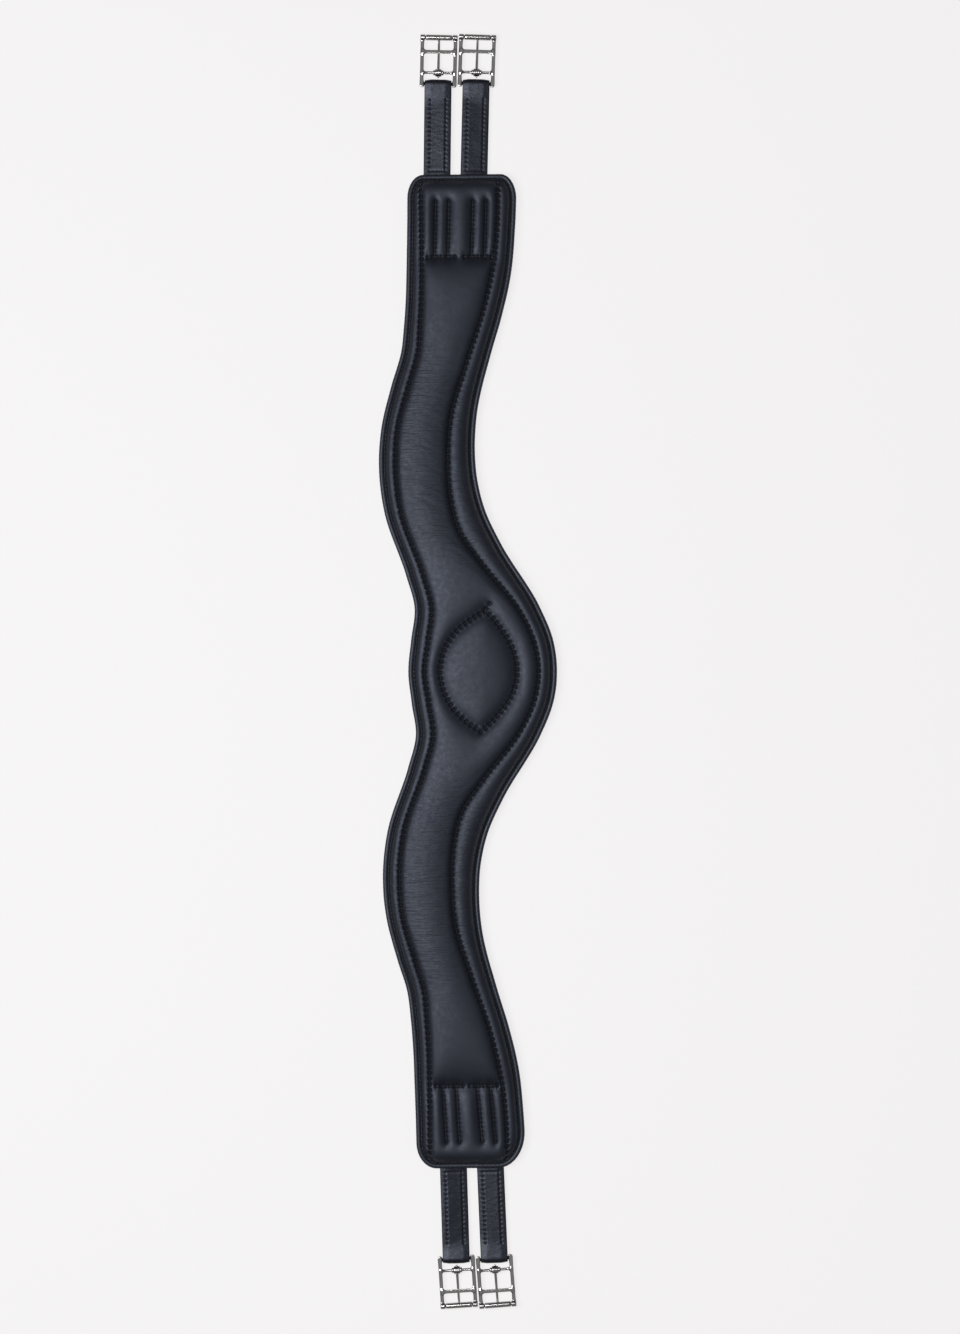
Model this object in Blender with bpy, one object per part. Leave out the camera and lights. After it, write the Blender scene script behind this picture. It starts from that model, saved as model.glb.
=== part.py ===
"""Anatomic saddle girth for a horse, 120 cm from buckle to buckle.

Metres, +Z up. The girth lies flat with its outer face down and its padded horse side up. Y runs along
it: +Y is the near (left) side of the horse and -Y the off (right) side. +X points to the horse's front.
The origin is the middle of the girth, on the surface it lies on. Both halves follow the same outline,
so the outline's key points are given once, against the distance from mid-length.
"""
import math

import bmesh
import bpy
from mathutils import Matrix, Vector

MM = 0.001

# Padded body: (distance from mid-length, x) of its two long edges, and its rounded ends, in mm.
REAR_EDGE = ((0, -57), (30, -54), (60, -50.5), (90, -58), (150, -78), (190, -82.7), (230, -80),
             (270, -70), (300, -61), (330, -57.5), (400, -54.5), (467, -53.5))
FRONT_EDGE = ((0, 82.7), (30, 79), (60, 67), (120, 31), (150, 17), (180, 9.5), (210, 7.5), (240, 9.5),
              (300, 24), (330, 33), (370, 42.5), (420, 47.5), (467, 49))
BODY_END = 467.0
# Its rounded corners are quarter ellipses: (across, along).
REAR_CORNERS = {"near": (15, 22), "off": (19, 24)}
FRONT_CORNERS = {"near": (15, 24), "off": (26, 36)}
CORNER_REACH = 36.0

# Layers of the body, from the surface up, in mm.
BAND_THICK = 2.0
BAND_LIFT = 4.9
PANEL_BOTTOM = 7.2
PANEL_THICK = 1.6
WEBBING_BOTTOM = 9.1
WEBBING_THICK = 1.3
FOAM_BOTTOM = 10.7
LINING_RIM = 10.7
LINING_THICK = 1.6
LINING_CROWN = 24.0
LINING_ROLL = 18.0
FOAM_CLEARANCE = 1.7
FOAM_INSET = 9.0

# Piping round the edge, which the panels butt against.
PIPING_RADIUS = 2.4
PIPING_HEIGHT = 9.6
PANEL_INSET = 2 * PIPING_RADIUS + 0.3

# Reinforcing band on the outer face: (distance from mid-length, half width) and where it steps down.
BAND_HALF_WIDTH = ((0, 23), (340, 23), (392, 37), (452, 37))
BAND_END = 452.0
BAND_STEP = (348.0, 386.0)
WEBBING_HALF_WIDTH = ((0, 25), (445, 25))
WEBBING_END = 445.0

# Buckle straps: doubled leather, one inch wide, folded round the base bar of each buckle.
STRAP_WIDTH = 25.4
STRAP_LEATHER = 2.2
STRAP_HEIGHT = 4.6
STRAP_START = 389.0
STRAP_ROOT = 475.0
BAR_DISTANCE = 553.1
FOLD_SLOPE = math.radians(9.0)
BAR_CLEARANCE = 0.7
STRAP_PAIRS = {"near": -8.0, "off": -1.5}
STRAPS = {"rear": (-17.45, 1.2), "front": (17.45, 1.9)}
BUCKLE_YAW = {"near": 0.6, "off": 1.9}

# Roller buckle, measured from the centre of its base bar: y outwards, z up.
BAR_RADIUS = 1.5
RAIL_INNER = 13.5
RAIL_OUTER = 17.7
RAIL_ENDS = (-3.6, 44.0)
RAIL_FACES = (-1.7, 2.3)
BAR_REACH = 14.5
TONGUE_BAR = Vector((0, 10.5, 0.3))
TONGUE_BAR_RADIUS = 1.4
COLLAR_RADIUS = 2.6
COLLAR_SPAN = (2.5, 5.0)
CROSSBAR_EDGES = (28.3, 31.7)
CROSSBAR_FACES = (0.7, 2.2)
ROLLER_AXIS = Vector((0, 43.4, 1.3))
ROLLER_BAR_RADIUS = 1.3
ROLLER_RADIUS = 2.8
ROLLER_BORE = 1.55
ROLLER_HALF_LENGTH = 12.3
BOSS_RADIUS = 2.9
BOSS_START = 12.6
TONGUE_RADIUS = 1.35
TONGUE_TIP = 1.5
TONGUE_GAP = 0.15
LOOP_RADIUS = 3.4
LOOP_BORE = 1.6
LOOP_HALF_WIDTH = 2.15
HEEL_REACH = 4.9

# D-ring under the middle of the body, and the leather chape that holds it.
RING_BAR = Vector((48.0, 0, 3.4))
RING_WIRE = 1.5
RING_HALF_WIDTH = 15.0
RING_REACH = 24.0
RING_DROOP = math.radians(3.9)
CHAPE_LEATHER = 1.2
CHAPE_LENGTH = 40.0
CHAPE_WIDTH = 22.0
RING_CLEARANCE = 0.3

CORNER_STEPS = 7
STRAIGHT_ROWS = 36
ROUND_SIDES = 16
SIDE_VIEW = Matrix(((0, 0, 1, 0), (1, 0, 0, 0), (0, 1, 0, 0), (0, 0, 0, 1)))


def clear_scene():
    for item in list(bpy.data.objects):
        bpy.data.objects.remove(item, do_unlink=True)


def make_collection(name):
    collection = bpy.data.collections.new(name)
    bpy.context.scene.collection.children.link(collection)
    return collection


def make_material(name, color, roughness, metallic=0.0):
    material = bpy.data.materials.new(name)
    material.use_nodes = True
    shader = material.node_tree.nodes["Principled BSDF"]
    shader.inputs["Base Color"].default_value = (*color, 1.0)
    shader.inputs["Roughness"].default_value = roughness
    shader.inputs["Metallic"].default_value = metallic
    material.diffuse_color = (*color, 1.0)
    return material


def add_object(name, data, collection, material, matrix=Matrix()):
    """Place a mesh or curve, which is in metres, by a matrix whose translation is in millimetres."""
    item = bpy.data.objects.new(name, data)
    collection.objects.link(item)
    item.matrix_world = Matrix.Translation(matrix.translation * MM) @ matrix.to_3x3().to_4x4()
    if not data.materials:
        data.materials.append(material)


def smooth(knots, distance):
    """Height at a distance of the smooth curve through the knots, level at the first one."""
    count = len(knots)
    index = max(i for i in range(count - 1) if i == 0 or knots[i][0] <= distance)
    (x0, y0), (x1, y1) = knots[index], knots[index + 1]
    step = x1 - x0
    t = min(1.0, (distance - x0) / step)
    start, end = knot_slope(knots, index) * step, knot_slope(knots, index + 1) * step
    rise = y1 - y0
    return y0 + t * start + t * t * (3 * rise - 2 * start - end) + t ** 3 * (start + end - 2 * rise)


def knot_slope(knots, index):
    if index in (0, len(knots) - 1):
        return 0.0
    (xa, ya), (xb, yb), (xc, yc) = knots[index - 1:index + 2]
    before, after = (yb - ya) / (xb - xa), (yc - yb) / (xc - xb)
    return (before * (xc - xb) + after * (xb - xa)) / (xc - xa)


def edge(knots, corners, side, y, inset):
    """X of one long edge at y, moved in by the inset, with its corner rounded off. Side is +1 or -1."""
    distance = abs(y)
    slope = smooth(knots, distance + 0.5) - smooth(knots, abs(distance - 0.5))
    x = smooth(knots, distance) - side * inset * math.hypot(1.0, slope)
    across, along = corners["near" if y > 0 else "off"]
    past = max(0.0, distance - (BODY_END - along)) / (along - inset)
    return x - side * (across - inset) * (1 - math.sqrt(max(0.0, 1 - past ** 2)))


def body_limits(inset):
    def limits(y):
        rear = edge(REAR_EDGE, REAR_CORNERS, -1, y, inset)
        front = edge(FRONT_EDGE, FRONT_CORNERS, 1, y, inset)
        return rear, front
    return limits


def band_limits(half_width):
    def limits(y):
        rear, front = body_limits(0.0)(y)
        middle = (rear + front) / 2
        half = smooth(half_width, abs(y))
        return middle - half, middle + half
    return limits


def body_rows(inset):
    """Positions along the body, closer together round its corners."""
    straight = BODY_END - CORNER_REACH
    half = [straight * i / STRAIGHT_ROWS for i in range(STRAIGHT_ROWS + 1)]
    for step in range(1, CORNER_STEPS + 1):
        half.append(straight + (CORNER_REACH - inset) * math.sin(step / CORNER_STEPS * math.pi / 2))
    return [-y for y in reversed(half[1:])] + half


def band_rows(end):
    rows = 2 * STRAIGHT_ROWS
    return [end * (2 * i / rows - 1) for i in range(rows + 1)]


def layer_mesh(name, rows, columns, limits, top, bottom):
    """A closed sheet over the given rows: its upper and lower surfaces are functions of x and y."""
    solid = bmesh.new()
    bmesh.ops.create_grid(solid, x_segments=columns, y_segments=len(rows) - 1, size=1.0)
    for vert in solid.verts:
        y = rows[round((vert.co.y + 1) / 2 * (len(rows) - 1))]
        low, high = limits(y)
        x = low + (high - low) * (vert.co.x + 1) / 2
        vert.co = (x, y, top(x, y))
    lower = bmesh.ops.extrude_face_region(solid, geom=solid.faces[:])["geom"]
    for vert in (item for item in lower if isinstance(item, bmesh.types.BMVert)):
        vert.co.z = bottom(vert.co.x, vert.co.y)
    bmesh.ops.recalc_face_normals(solid, faces=solid.faces[:])
    mesh = bpy.data.meshes.new(name)
    solid.to_mesh(mesh)
    solid.free()
    mesh.transform(Matrix.Scale(MM, 4))
    return mesh


def lining_top(x, y):
    """The padding rolls up from the rim on every side to a level crown."""
    low, high = body_limits(PANEL_INSET)(y)
    inside = min(x - low, high - x, BODY_END - PANEL_INSET - abs(y))
    rise = math.sin(math.pi / 2 * min(1.0, max(0.0, inside / LINING_ROLL)))
    return LINING_RIM + (LINING_CROWN - LINING_RIM) * rise


def band_bottom(x, y):
    """The band lies on the surface under the straps and steps up to the panel between them."""
    start, end = BAND_STEP
    t = min(1.0, max(0.0, (abs(y) - start) / (end - start)))
    return BAND_LIFT * (1 - t * t * (3 - 2 * t))


def add_layers(collection, leather, lining, foam, webbing):
    panel_rows = body_rows(PANEL_INSET)
    panel_limits = body_limits(PANEL_INSET)
    layers = (
        ("lining_panel", lining, panel_rows, 14, panel_limits, lining_top,
         lambda x, y: lining_top(x, y) - LINING_THICK),
        ("foam_core", foam, body_rows(FOAM_INSET), 8, body_limits(FOAM_INSET),
         lambda x, y: lining_top(x, y) - LINING_THICK - FOAM_CLEARANCE, lambda x, y: FOAM_BOTTOM),
        ("core_webbing", webbing, band_rows(WEBBING_END), 1, band_limits(WEBBING_HALF_WIDTH),
         lambda x, y: WEBBING_BOTTOM + WEBBING_THICK, lambda x, y: WEBBING_BOTTOM),
        ("outer_panel", leather, panel_rows, 1, panel_limits,
         lambda x, y: PANEL_BOTTOM + PANEL_THICK, lambda x, y: PANEL_BOTTOM),
        ("outer_reinforcing_band", leather, band_rows(BAND_END), 1, band_limits(BAND_HALF_WIDTH),
         lambda x, y: band_bottom(x, y) + BAND_THICK, band_bottom),
    )
    for name, material, rows, columns, limits, top, bottom in layers:
        mesh = layer_mesh(name, rows, columns, limits, top, bottom)
        add_object(name, mesh, collection, material)


def edge_route(inset):
    """The outline, inset, as a closed run of points: up the front edge and back down the rear one."""
    rows = body_rows(inset)
    limits = body_limits(inset)
    front = [(limits(y)[1], y) for y in rows]
    rear = [(limits(y)[0], y) for y in reversed(rows)]
    return front + rear


def tube_curve(name, points, radius, closed=False):
    curve = bpy.data.curves.new(name, "CURVE")
    curve.dimensions = "3D"
    curve.bevel_depth = radius * MM
    curve.bevel_resolution = 2
    curve.use_fill_caps = not closed
    spline = curve.splines.new("POLY")
    spline.points.add(len(points) - 1)
    for point, place_at in zip(spline.points, points):
        point.co = (*(Vector(place_at) * MM), 1.0)
    spline.use_cyclic_u = closed
    return curve


def add_piping(collection, leather):
    route = [(x, y, 0.0) for x, y in edge_route(PIPING_RADIUS)]
    piping = tube_curve("edge_piping", route, PIPING_RADIUS, closed=True)
    add_object("edge_piping", piping, collection, leather, Matrix.Translation((0, 0, PIPING_HEIGHT)))


def folded_strap_curve(name, length, width, leather, bore):
    """Side view, in the curve's own plane, of a strap folded round a bore, extruded to its width."""
    eye = bore + leather
    turn = math.pi / 2 + FOLD_SLOPE
    steps = [turn * (2 * i / 12 - 1) for i in range(13)]
    neck = -eye * math.sin(FOLD_SLOPE) - (eye * math.cos(FOLD_SLOPE) - leather) / math.tan(FOLD_SLOPE)
    outline = [(-length, -leather), (neck, -leather)]
    outline += [(eye * math.cos(a), eye * math.sin(a)) for a in steps]
    outline += [(neck, leather), (-length, leather)]
    hole = [(bore * math.cos(a), bore * math.sin(a)) for a in steps]
    hole.append((-bore / math.sin(FOLD_SLOPE), 0.0))
    curve = bpy.data.curves.new(name, "CURVE")
    curve.dimensions = "2D"
    curve.fill_mode = "BOTH"
    curve.extrude = width / 2 * MM
    for points in (outline, hole):
        spline = curve.splines.new("POLY")
        spline.points.add(len(points) - 1)
        for point, (along, up) in zip(spline.points, points):
            point.co = (along * MM, up * MM, 0.0, 1.0)
        spline.use_cyclic_u = True
    return curve


def buckle_matrix(end, side, yaw=0.0):
    """Where the base bar of a buckle is: y points out along its strap, or turned from it by the yaw."""
    spread, splay = STRAPS[side]
    turn = math.radians(-splay - yaw if end == "near" else 180 + splay + yaw)
    sense = 1 if end == "near" else -1
    root = Vector((STRAP_PAIRS[end] + spread, sense * STRAP_ROOT, STRAP_HEIGHT))
    out = Vector((math.sin(math.radians(splay)), sense * math.cos(math.radians(splay)), 0))
    run = (BAR_DISTANCE - STRAP_ROOT) / math.cos(math.radians(splay))
    return Matrix.Translation(root + out * run) @ Matrix.Rotation(turn, 4, "Z")


def block(low, high, bevel=0.0):
    solid = bmesh.new()
    bmesh.ops.create_cube(solid, size=1.0)
    size = Vector(high) - Vector(low)
    middle = (Vector(high) + Vector(low)) / 2
    bmesh.ops.transform(solid, matrix=Matrix.Translation(middle) @ Matrix.Diagonal((*size, 1)),
                        verts=solid.verts[:])
    if bevel:
        bmesh.ops.bevel(solid, geom=solid.edges[:], offset=bevel, segments=2, profile=0.5,
                        affect="EDGES")
    return solid


def rod(radius, start, end, center, tip_radius=None):
    """A round bar along x, from start to end, whose axis passes through the centre point."""
    solid = bmesh.new()
    turn = Matrix.Rotation(math.pi / 2, 4, "Y")
    bmesh.ops.create_cone(solid, cap_ends=True, segments=ROUND_SIDES, radius1=radius,
                          radius2=radius if tip_radius is None else tip_radius, depth=end - start,
                          matrix=Matrix.Translation(center + Vector(((start + end) / 2, 0, 0))) @ turn)
    return solid


def joined_mesh(name, solids, cut=()):
    """One closed mesh: the union of some solids, less the cuts."""
    base = bpy.data.objects.new(name + "_base", bpy.data.meshes.new(name + "_base"))
    solids[0].to_mesh(base.data)
    bpy.context.scene.collection.objects.link(base)
    tools = [base]
    for operation, group in (("UNION", solids[1:]), ("DIFFERENCE", cut)):
        for solid in group:
            tool = bpy.data.objects.new(name + "_tool", bpy.data.meshes.new(name + "_tool"))
            solid.to_mesh(tool.data)
            bpy.context.scene.collection.objects.link(tool)
            modifier = base.modifiers.new(operation, "BOOLEAN")
            modifier.operation = operation
            modifier.solver = "EXACT"
            modifier.object = tool
            tools.append(tool)
    bpy.context.view_layer.update()
    evaluated = base.evaluated_get(bpy.context.evaluated_depsgraph_get())
    mesh = bpy.data.meshes.new_from_object(evaluated)
    mesh.name = name
    mesh.transform(Matrix.Scale(MM, 4))
    for tool in tools:
        bpy.data.objects.remove(tool, do_unlink=True)
    for solid in (*solids, *cut):
        solid.free()
    return mesh


def frame_mesh():
    """Two rails joined by the base bar, the tongue bar with its collars, the crossbar and the end bar."""
    origin = Vector((0, 0, 0))
    solids = [
        rod(BAR_RADIUS, -BAR_REACH, BAR_REACH, origin),
        rod(TONGUE_BAR_RADIUS, -BAR_REACH, BAR_REACH, TONGUE_BAR),
        rod(ROLLER_BAR_RADIUS, -BAR_REACH, BAR_REACH, ROLLER_AXIS),
        block((-BAR_REACH, CROSSBAR_EDGES[0], CROSSBAR_FACES[0]),
              (BAR_REACH, CROSSBAR_EDGES[1], CROSSBAR_FACES[1])),
    ]
    for side in (-1, 1):
        inner, outer = sorted((side * RAIL_INNER, side * RAIL_OUTER))
        solids.append(block((inner, RAIL_ENDS[0], RAIL_FACES[0]), (outer, RAIL_ENDS[1], RAIL_FACES[1]), 0.8))
        inner, outer = sorted((side * BOSS_START, side * (RAIL_OUTER - 0.1)))
        solids.append(rod(BOSS_RADIUS, inner, outer, ROLLER_AXIS))
        inner, outer = sorted((side * COLLAR_SPAN[0], side * COLLAR_SPAN[1]))
        solids.append(rod(COLLAR_RADIUS, inner, outer, TONGUE_BAR))
    return joined_mesh("buckle_frame", solids)


def roller_mesh():
    center = Vector((0, 0, 0))
    body = rod(ROLLER_RADIUS, -ROLLER_HALF_LENGTH, ROLLER_HALF_LENGTH, center)
    bore = rod(ROLLER_BORE, -ROLLER_HALF_LENGTH - 1, ROLLER_HALF_LENGTH + 1, center)
    return joined_mesh("buckle_roller", [body], [bore])


def tongue_mesh():
    """A loop round the tongue bar, with a pin that rests on the outer side of the roller."""
    center = Vector((0, 0, 0))
    contact = ROLLER_AXIS - TONGUE_BAR - Vector((0, 0, ROLLER_RADIUS + TONGUE_GAP + TONGUE_RADIUS))
    tip = contact * (1 + TONGUE_TIP / contact.length)
    start = contact * (LOOP_RADIUS - 0.8) / contact.length
    pin = bmesh.new()
    lean = contact.to_track_quat("Z", "X").to_matrix().to_4x4()
    bmesh.ops.create_cone(pin, cap_ends=True, segments=12, radius1=TONGUE_RADIUS,
                          radius2=TONGUE_RADIUS * 0.8, depth=(tip - start).length,
                          matrix=Matrix.Translation((tip + start) / 2) @ lean)
    heel = bmesh.new()
    heel_turn = Matrix.Rotation(math.pi / 2, 4, "X")
    heel_depth = HEEL_REACH - 2.4
    bmesh.ops.create_cone(heel, cap_ends=True, segments=10, radius1=1.5, radius2=0.9, depth=heel_depth,
                          matrix=Matrix.Translation((0, -2.4 - heel_depth / 2, 0)) @ heel_turn)
    loop = rod(LOOP_RADIUS, -LOOP_HALF_WIDTH, LOOP_HALF_WIDTH, center)
    bore = rod(LOOP_BORE, -LOOP_HALF_WIDTH - 1, LOOP_HALF_WIDTH + 1, center)
    return joined_mesh("buckle_tongue", [loop, pin, heel], [bore])


def add_buckles(collection, leather, steel):
    moving = {
        "buckle_frame": (frame_mesh(), Vector((0, 0, 0))),
        "buckle_roller": (roller_mesh(), ROLLER_AXIS),
        "buckle_tongue": (tongue_mesh(), TONGUE_BAR),
    }
    length = BAR_DISTANCE - STRAP_START
    for end in STRAP_PAIRS:
        for side in STRAPS:
            suffix = f"_{end}_{side}"
            bore = BAR_RADIUS + BAR_CLEARANCE
            strap = folded_strap_curve("buckle_strap", length, STRAP_WIDTH, STRAP_LEATHER, bore)
            along_strap = buckle_matrix(end, side) @ SIDE_VIEW
            add_object("buckle_strap" + suffix, strap, collection, leather, along_strap)
            matrix = buckle_matrix(end, side, BUCKLE_YAW[end])
            for kind, (mesh, offset) in moving.items():
                add_object(kind + suffix, mesh, collection, steel, matrix @ Matrix.Translation(offset))


def add_ring(collection, leather, steel):
    """The D lies forward from its bar and droops a little, so that it rests on the surface."""
    bore = RING_WIRE + RING_CLEARANCE
    chape = folded_strap_curve("ring_chape", CHAPE_LENGTH, CHAPE_WIDTH, CHAPE_LEATHER, bore)
    forward = Matrix.Rotation(-math.pi / 2, 4, "Z")
    add_object("ring_chape", chape, collection, leather, Matrix.Translation(RING_BAR) @ forward @ SIDE_VIEW)
    steps = [math.radians(12 + 156 * i / 14) for i in range(15)]
    route = [(RING_REACH * math.sin(a), RING_HALF_WIDTH * math.cos(a), 0.0) for a in steps]
    route.insert(0, (0.0, RING_HALF_WIDTH - 2.5, 0.0))
    route.append((0.0, -RING_HALF_WIDTH + 2.5, 0.0))
    ring = tube_curve("girth_ring", route, RING_WIRE, closed=True)
    droop = Matrix.Rotation(RING_DROOP, 4, "Y")
    add_object("girth_ring", ring, collection, steel, Matrix.Translation(RING_BAR) @ droop)


def main():
    clear_scene()
    collection = make_collection("saddle_girth")
    leather = make_material("black_leather", (0.022, 0.024, 0.028), 0.5)
    lining = make_material("soft_lining_leather", (0.028, 0.031, 0.036), 0.6)
    foam = make_material("foam", (0.45, 0.44, 0.40), 0.95)
    webbing = make_material("nylon_webbing", (0.05, 0.05, 0.05), 0.85)
    steel = make_material("polished_steel", (0.62, 0.61, 0.60), 0.2, 1.0)
    add_layers(collection, leather, lining, foam, webbing)
    add_piping(collection, leather)
    add_buckles(collection, leather, steel)
    add_ring(collection, leather, steel)
    bpy.context.view_layer.update()


main()
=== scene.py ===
"""Looks of the anatomic saddle girth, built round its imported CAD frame.

Shapes are worked out in millimetres of the row frame and scaled to metres as each mesh is made: y runs
along the girth (+y is the near side), x points to the horse's front and z up, off the padded side.
"""
import collections
import itertools
import math

import bpy
import numpy as np
from mathutils import Matrix, Vector, noise
from mathutils.kdtree import KDTree


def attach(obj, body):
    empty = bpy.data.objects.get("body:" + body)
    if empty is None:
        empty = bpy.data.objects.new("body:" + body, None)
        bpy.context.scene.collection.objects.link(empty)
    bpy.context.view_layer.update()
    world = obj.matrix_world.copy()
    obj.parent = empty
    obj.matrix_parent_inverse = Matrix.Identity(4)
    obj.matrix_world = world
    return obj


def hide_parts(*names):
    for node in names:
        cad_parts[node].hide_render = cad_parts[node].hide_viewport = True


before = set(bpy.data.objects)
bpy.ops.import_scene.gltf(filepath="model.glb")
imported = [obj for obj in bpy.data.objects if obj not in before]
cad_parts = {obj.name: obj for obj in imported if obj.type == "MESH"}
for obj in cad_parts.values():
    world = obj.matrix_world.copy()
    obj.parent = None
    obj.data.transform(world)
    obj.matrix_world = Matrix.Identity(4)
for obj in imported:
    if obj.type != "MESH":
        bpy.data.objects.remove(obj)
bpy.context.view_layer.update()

MM = 0.001
RNG = np.random.default_rng(7)

# Outline of the padded body: (distance from mid-length, x) and its elliptical corners.
REAR_EDGE = ((0, -57), (30, -54), (60, -50.5), (90, -58), (150, -78), (190, -82.7), (230, -80),
             (270, -70), (300, -61), (330, -57.5), (400, -54.5), (467, -53.5))
FRONT_EDGE = ((0, 82.7), (30, 79), (60, 67), (120, 31), (150, 17), (180, 9.5), (210, 7.5), (240, 9.5),
              (300, 24), (330, 33), (370, 42.5), (420, 47.5), (467, 49))
BODY_END = 467.0
REAR_CORNERS = {"near": (15, 22), "off": (19, 24)}
FRONT_CORNERS = {"near": (15, 24), "off": (26, 36)}

# Seams through the padding.
EDGE_SEAM_INSET = 5.2
BORDER_INSET = 4.2
REAR_SEAM = ((0, -42), (30, -38), (60, -34.5), (90, -42), (150, -62.5), (190, -67), (230, -64.5),
             (270, -53.5), (300, -45), (330, -42.5), (460, -41))
FRONT_SEAM = ((0, 65.5), (30, 60.5), (60, 45.5), (100, 13.5), (130, -7), (160, -15.5), (200, -18),
              (240, -14.8), (290, 0.5), (340, 17), (400, 29), (460, 31.5))
SEAM_END = 457.0
LENS_REAR = ((0, -27.7), (10, -26.3), (20, -23.5), (30, -18.3), (40, -10.5), (50, 2.5), (56.4, 13.3))
LENS_FRONT = ((0, 45.5), (10, 44.3), (20, 41.7), (30, 36.3), (40, 29.3), (50, 20.7), (56.4, 13.3))
LENS_SKEW = 3.0
LENS_OVERRUN = ((16.7, 58.6), (20.0, 63.2))
BOX_ROWS = {"near": ((-28.6, -27.2), (-16.2, -14.8), (5.9, 7.7), (18.2, 20.0)),
            "off": ((-28.4, -25.6), (-15.9, -13.1), (3.9, 8.0), (16.2, 20.6))}
BOX_START = 390.0
BOX_END = 441.0
BOX_HALF_WIDTH = 12.6
EDGE_PITCH = 4.0
SEAM_PITCH = 5.35
BOX_PITCH = 4.2
SEAM_TRACE = 0.5

# How a seam pulls the padding in: the depth at its middle, how far the tight crease and the wide hollow
# reach, the hollow's share of the depth, and the heights of the puckers and of the pits at its stitches.
EDGE_PULL = {"depth": 10.7, "near": 1.8, "far": 8.5, "share": 0.60, "pucker": 0.32, "pit": 0.8}
LONG_PULL = {"depth": 6.2, "near": 2.0, "far": 12.0, "share": 0.48, "pucker": 1.4, "pit": 0.9}
LENS_PULL = {"depth": 6.2, "near": 2.0, "far": 15.0, "share": 0.56, "pucker": 1.0, "pit": 1.0}
OVERRUN_PULL = {"depth": 3.2, "near": 1.8, "far": 6.0, "share": 0.3, "pucker": 0.6, "pit": 1.0}
BOX_PULL = {"depth": 6.4, "near": 1.8, "far": 14.0, "share": 0.50, "pucker": 0.45, "pit": 1.0}
PULL_BLEND = 1.5
CREASE_WIDTH = 2.2
FINE_CREASE = 0.53
RIPPLE_LIMITS = (-1.5, 1.7)

# Fine folds lie across the padding, by distance from mid-length: none, all, all, none.
FOLD_ZONE = (85, 125, 260, 320)
FOLD_HEIGHT = 0.26

# Heights of the layers.
CROWN = 21.8
RIM_HEIGHT = 10.9
LINING_THICK = 1.4
SWELL_CAP = 2.0
FOAM_BOTTOM = 10.7
PANEL_FACES = (7.2, 8.8)
PIPING_HEIGHT = 9.6

# Cloth settings of the soft leather, which swells a little under the pressure of the foam.
CLOTH_FRAMES = 20
CLOTH = {"quality": 6, "mass": 0.15, "tension_stiffness": 25.0, "compression_stiffness": 25.0,
         "shear_stiffness": 15.0, "bending_stiffness": 8.0, "vertex_group_mass": "seams", "shrink_min": 0.0,
         "use_pressure": True, "uniform_pressure_force": 10.0}


def bell(offset, width):
    return np.exp(-(offset / width) ** 2)


def ramp(value, start, finish):
    """0 before the start, 1 past the finish, and in proportion between them."""
    return np.clip((value - start) / (finish - start), 0, 1)


def ease(t):
    return t * t * (3 - 2 * t)


def rolling_mean(values, window):
    return np.convolve(values, np.ones(window) / window, mode="valid")


def smooth(knots, distance):
    """The smooth curve through the knots, level at its two ends, at each distance."""
    xs, ys = np.array(knots, float).T
    step, rise = np.diff(xs), np.diff(ys)
    slope = rise / step
    ends = np.zeros(len(xs))
    ends[1:-1] = (slope[:-1] * step[1:] + slope[1:] * step[:-1]) / (step[1:] + step[:-1])
    i = np.clip(np.searchsorted(xs, distance, side="right") - 1, 0, len(xs) - 2)
    t = np.minimum(1.0, (distance - xs[i]) / step[i])
    start, end = ends[i] * step[i], ends[i + 1] * step[i]
    return ys[i] + t * start + t * t * (3 * rise[i] - 2 * start - end) + t ** 3 * (start + end - 2 * rise[i])


def body_edge(knots, corners, side, y, inset):
    """X of one long edge at y, moved in by the inset, with its corner rounded off. Side is +1 or -1."""
    distance = np.abs(y)
    slope = smooth(knots, distance + 0.5) - smooth(knots, np.abs(distance - 0.5))
    x = smooth(knots, distance) - side * inset * np.hypot(1.0, slope)
    across = np.where(y > 0, corners["near"][0], corners["off"][0]) - inset
    along = np.where(y > 0, corners["near"][1], corners["off"][1])
    past = ramp(distance, BODY_END - along, BODY_END - inset)
    return x - side * across * (1 - np.sqrt(1 - past ** 2))


def body_limits(y, inset):
    """X of the body's rear and front edges at y, moved in by the inset."""
    rear = body_edge(REAR_EDGE, REAR_CORNERS, -1, y, inset)
    return rear, body_edge(FRONT_EDGE, FRONT_CORNERS, 1, y, inset)


def resample(points, spacing, closed=False):
    """Points evenly spaced along a polyline, and the spacing that fits it exactly."""
    points = np.asarray(points, float)
    if closed:
        points = np.vstack([points, points[:1]])
    lengths = np.hypot(*np.diff(points[:, :2], axis=0).T)
    run = np.concatenate([[0.0], np.cumsum(lengths)])
    count = max(1, round(run[-1] / spacing))
    at = np.linspace(0.0, run[-1], count + 1)
    if closed:
        at = at[:-1]
    return np.stack([np.interp(at, run, column) for column in points.T], 1), run[-1] / count


def end_packed(limit, steps):
    """Values from -limit to limit, closer together in the last 40 mm at each end."""
    bend = 40.0
    middle = np.linspace(-(limit - bend), limit - bend, 4 * round((limit - bend) / steps / 2) + 1)
    turn = np.sin(np.linspace(0, math.pi / 2, 2 * round(0.72 * bend / steps) + 1)[1:]) * bend + limit - bend
    return np.concatenate([-turn[::-1], middle, turn])


def outline(inset, spacing):
    """The body's outline moved in by the inset, as evenly spaced points, counter-clockwise."""
    y = end_packed(BODY_END - inset, 0.8)
    rear, front = body_limits(y, inset)
    route = np.concatenate([np.stack([front, y], 1), np.stack([rear, y], 1)[::-1]])
    return resample(route, spacing, closed=True)


def seam_line(knots, spacing):
    """A long seam: the same shape on both sides of mid-length, ending just short of the edge seam."""
    y = np.linspace(-SEAM_END, SEAM_END, 1200)
    return resample(np.stack([smooth(knots, np.abs(y)), y], 1), spacing)


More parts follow.
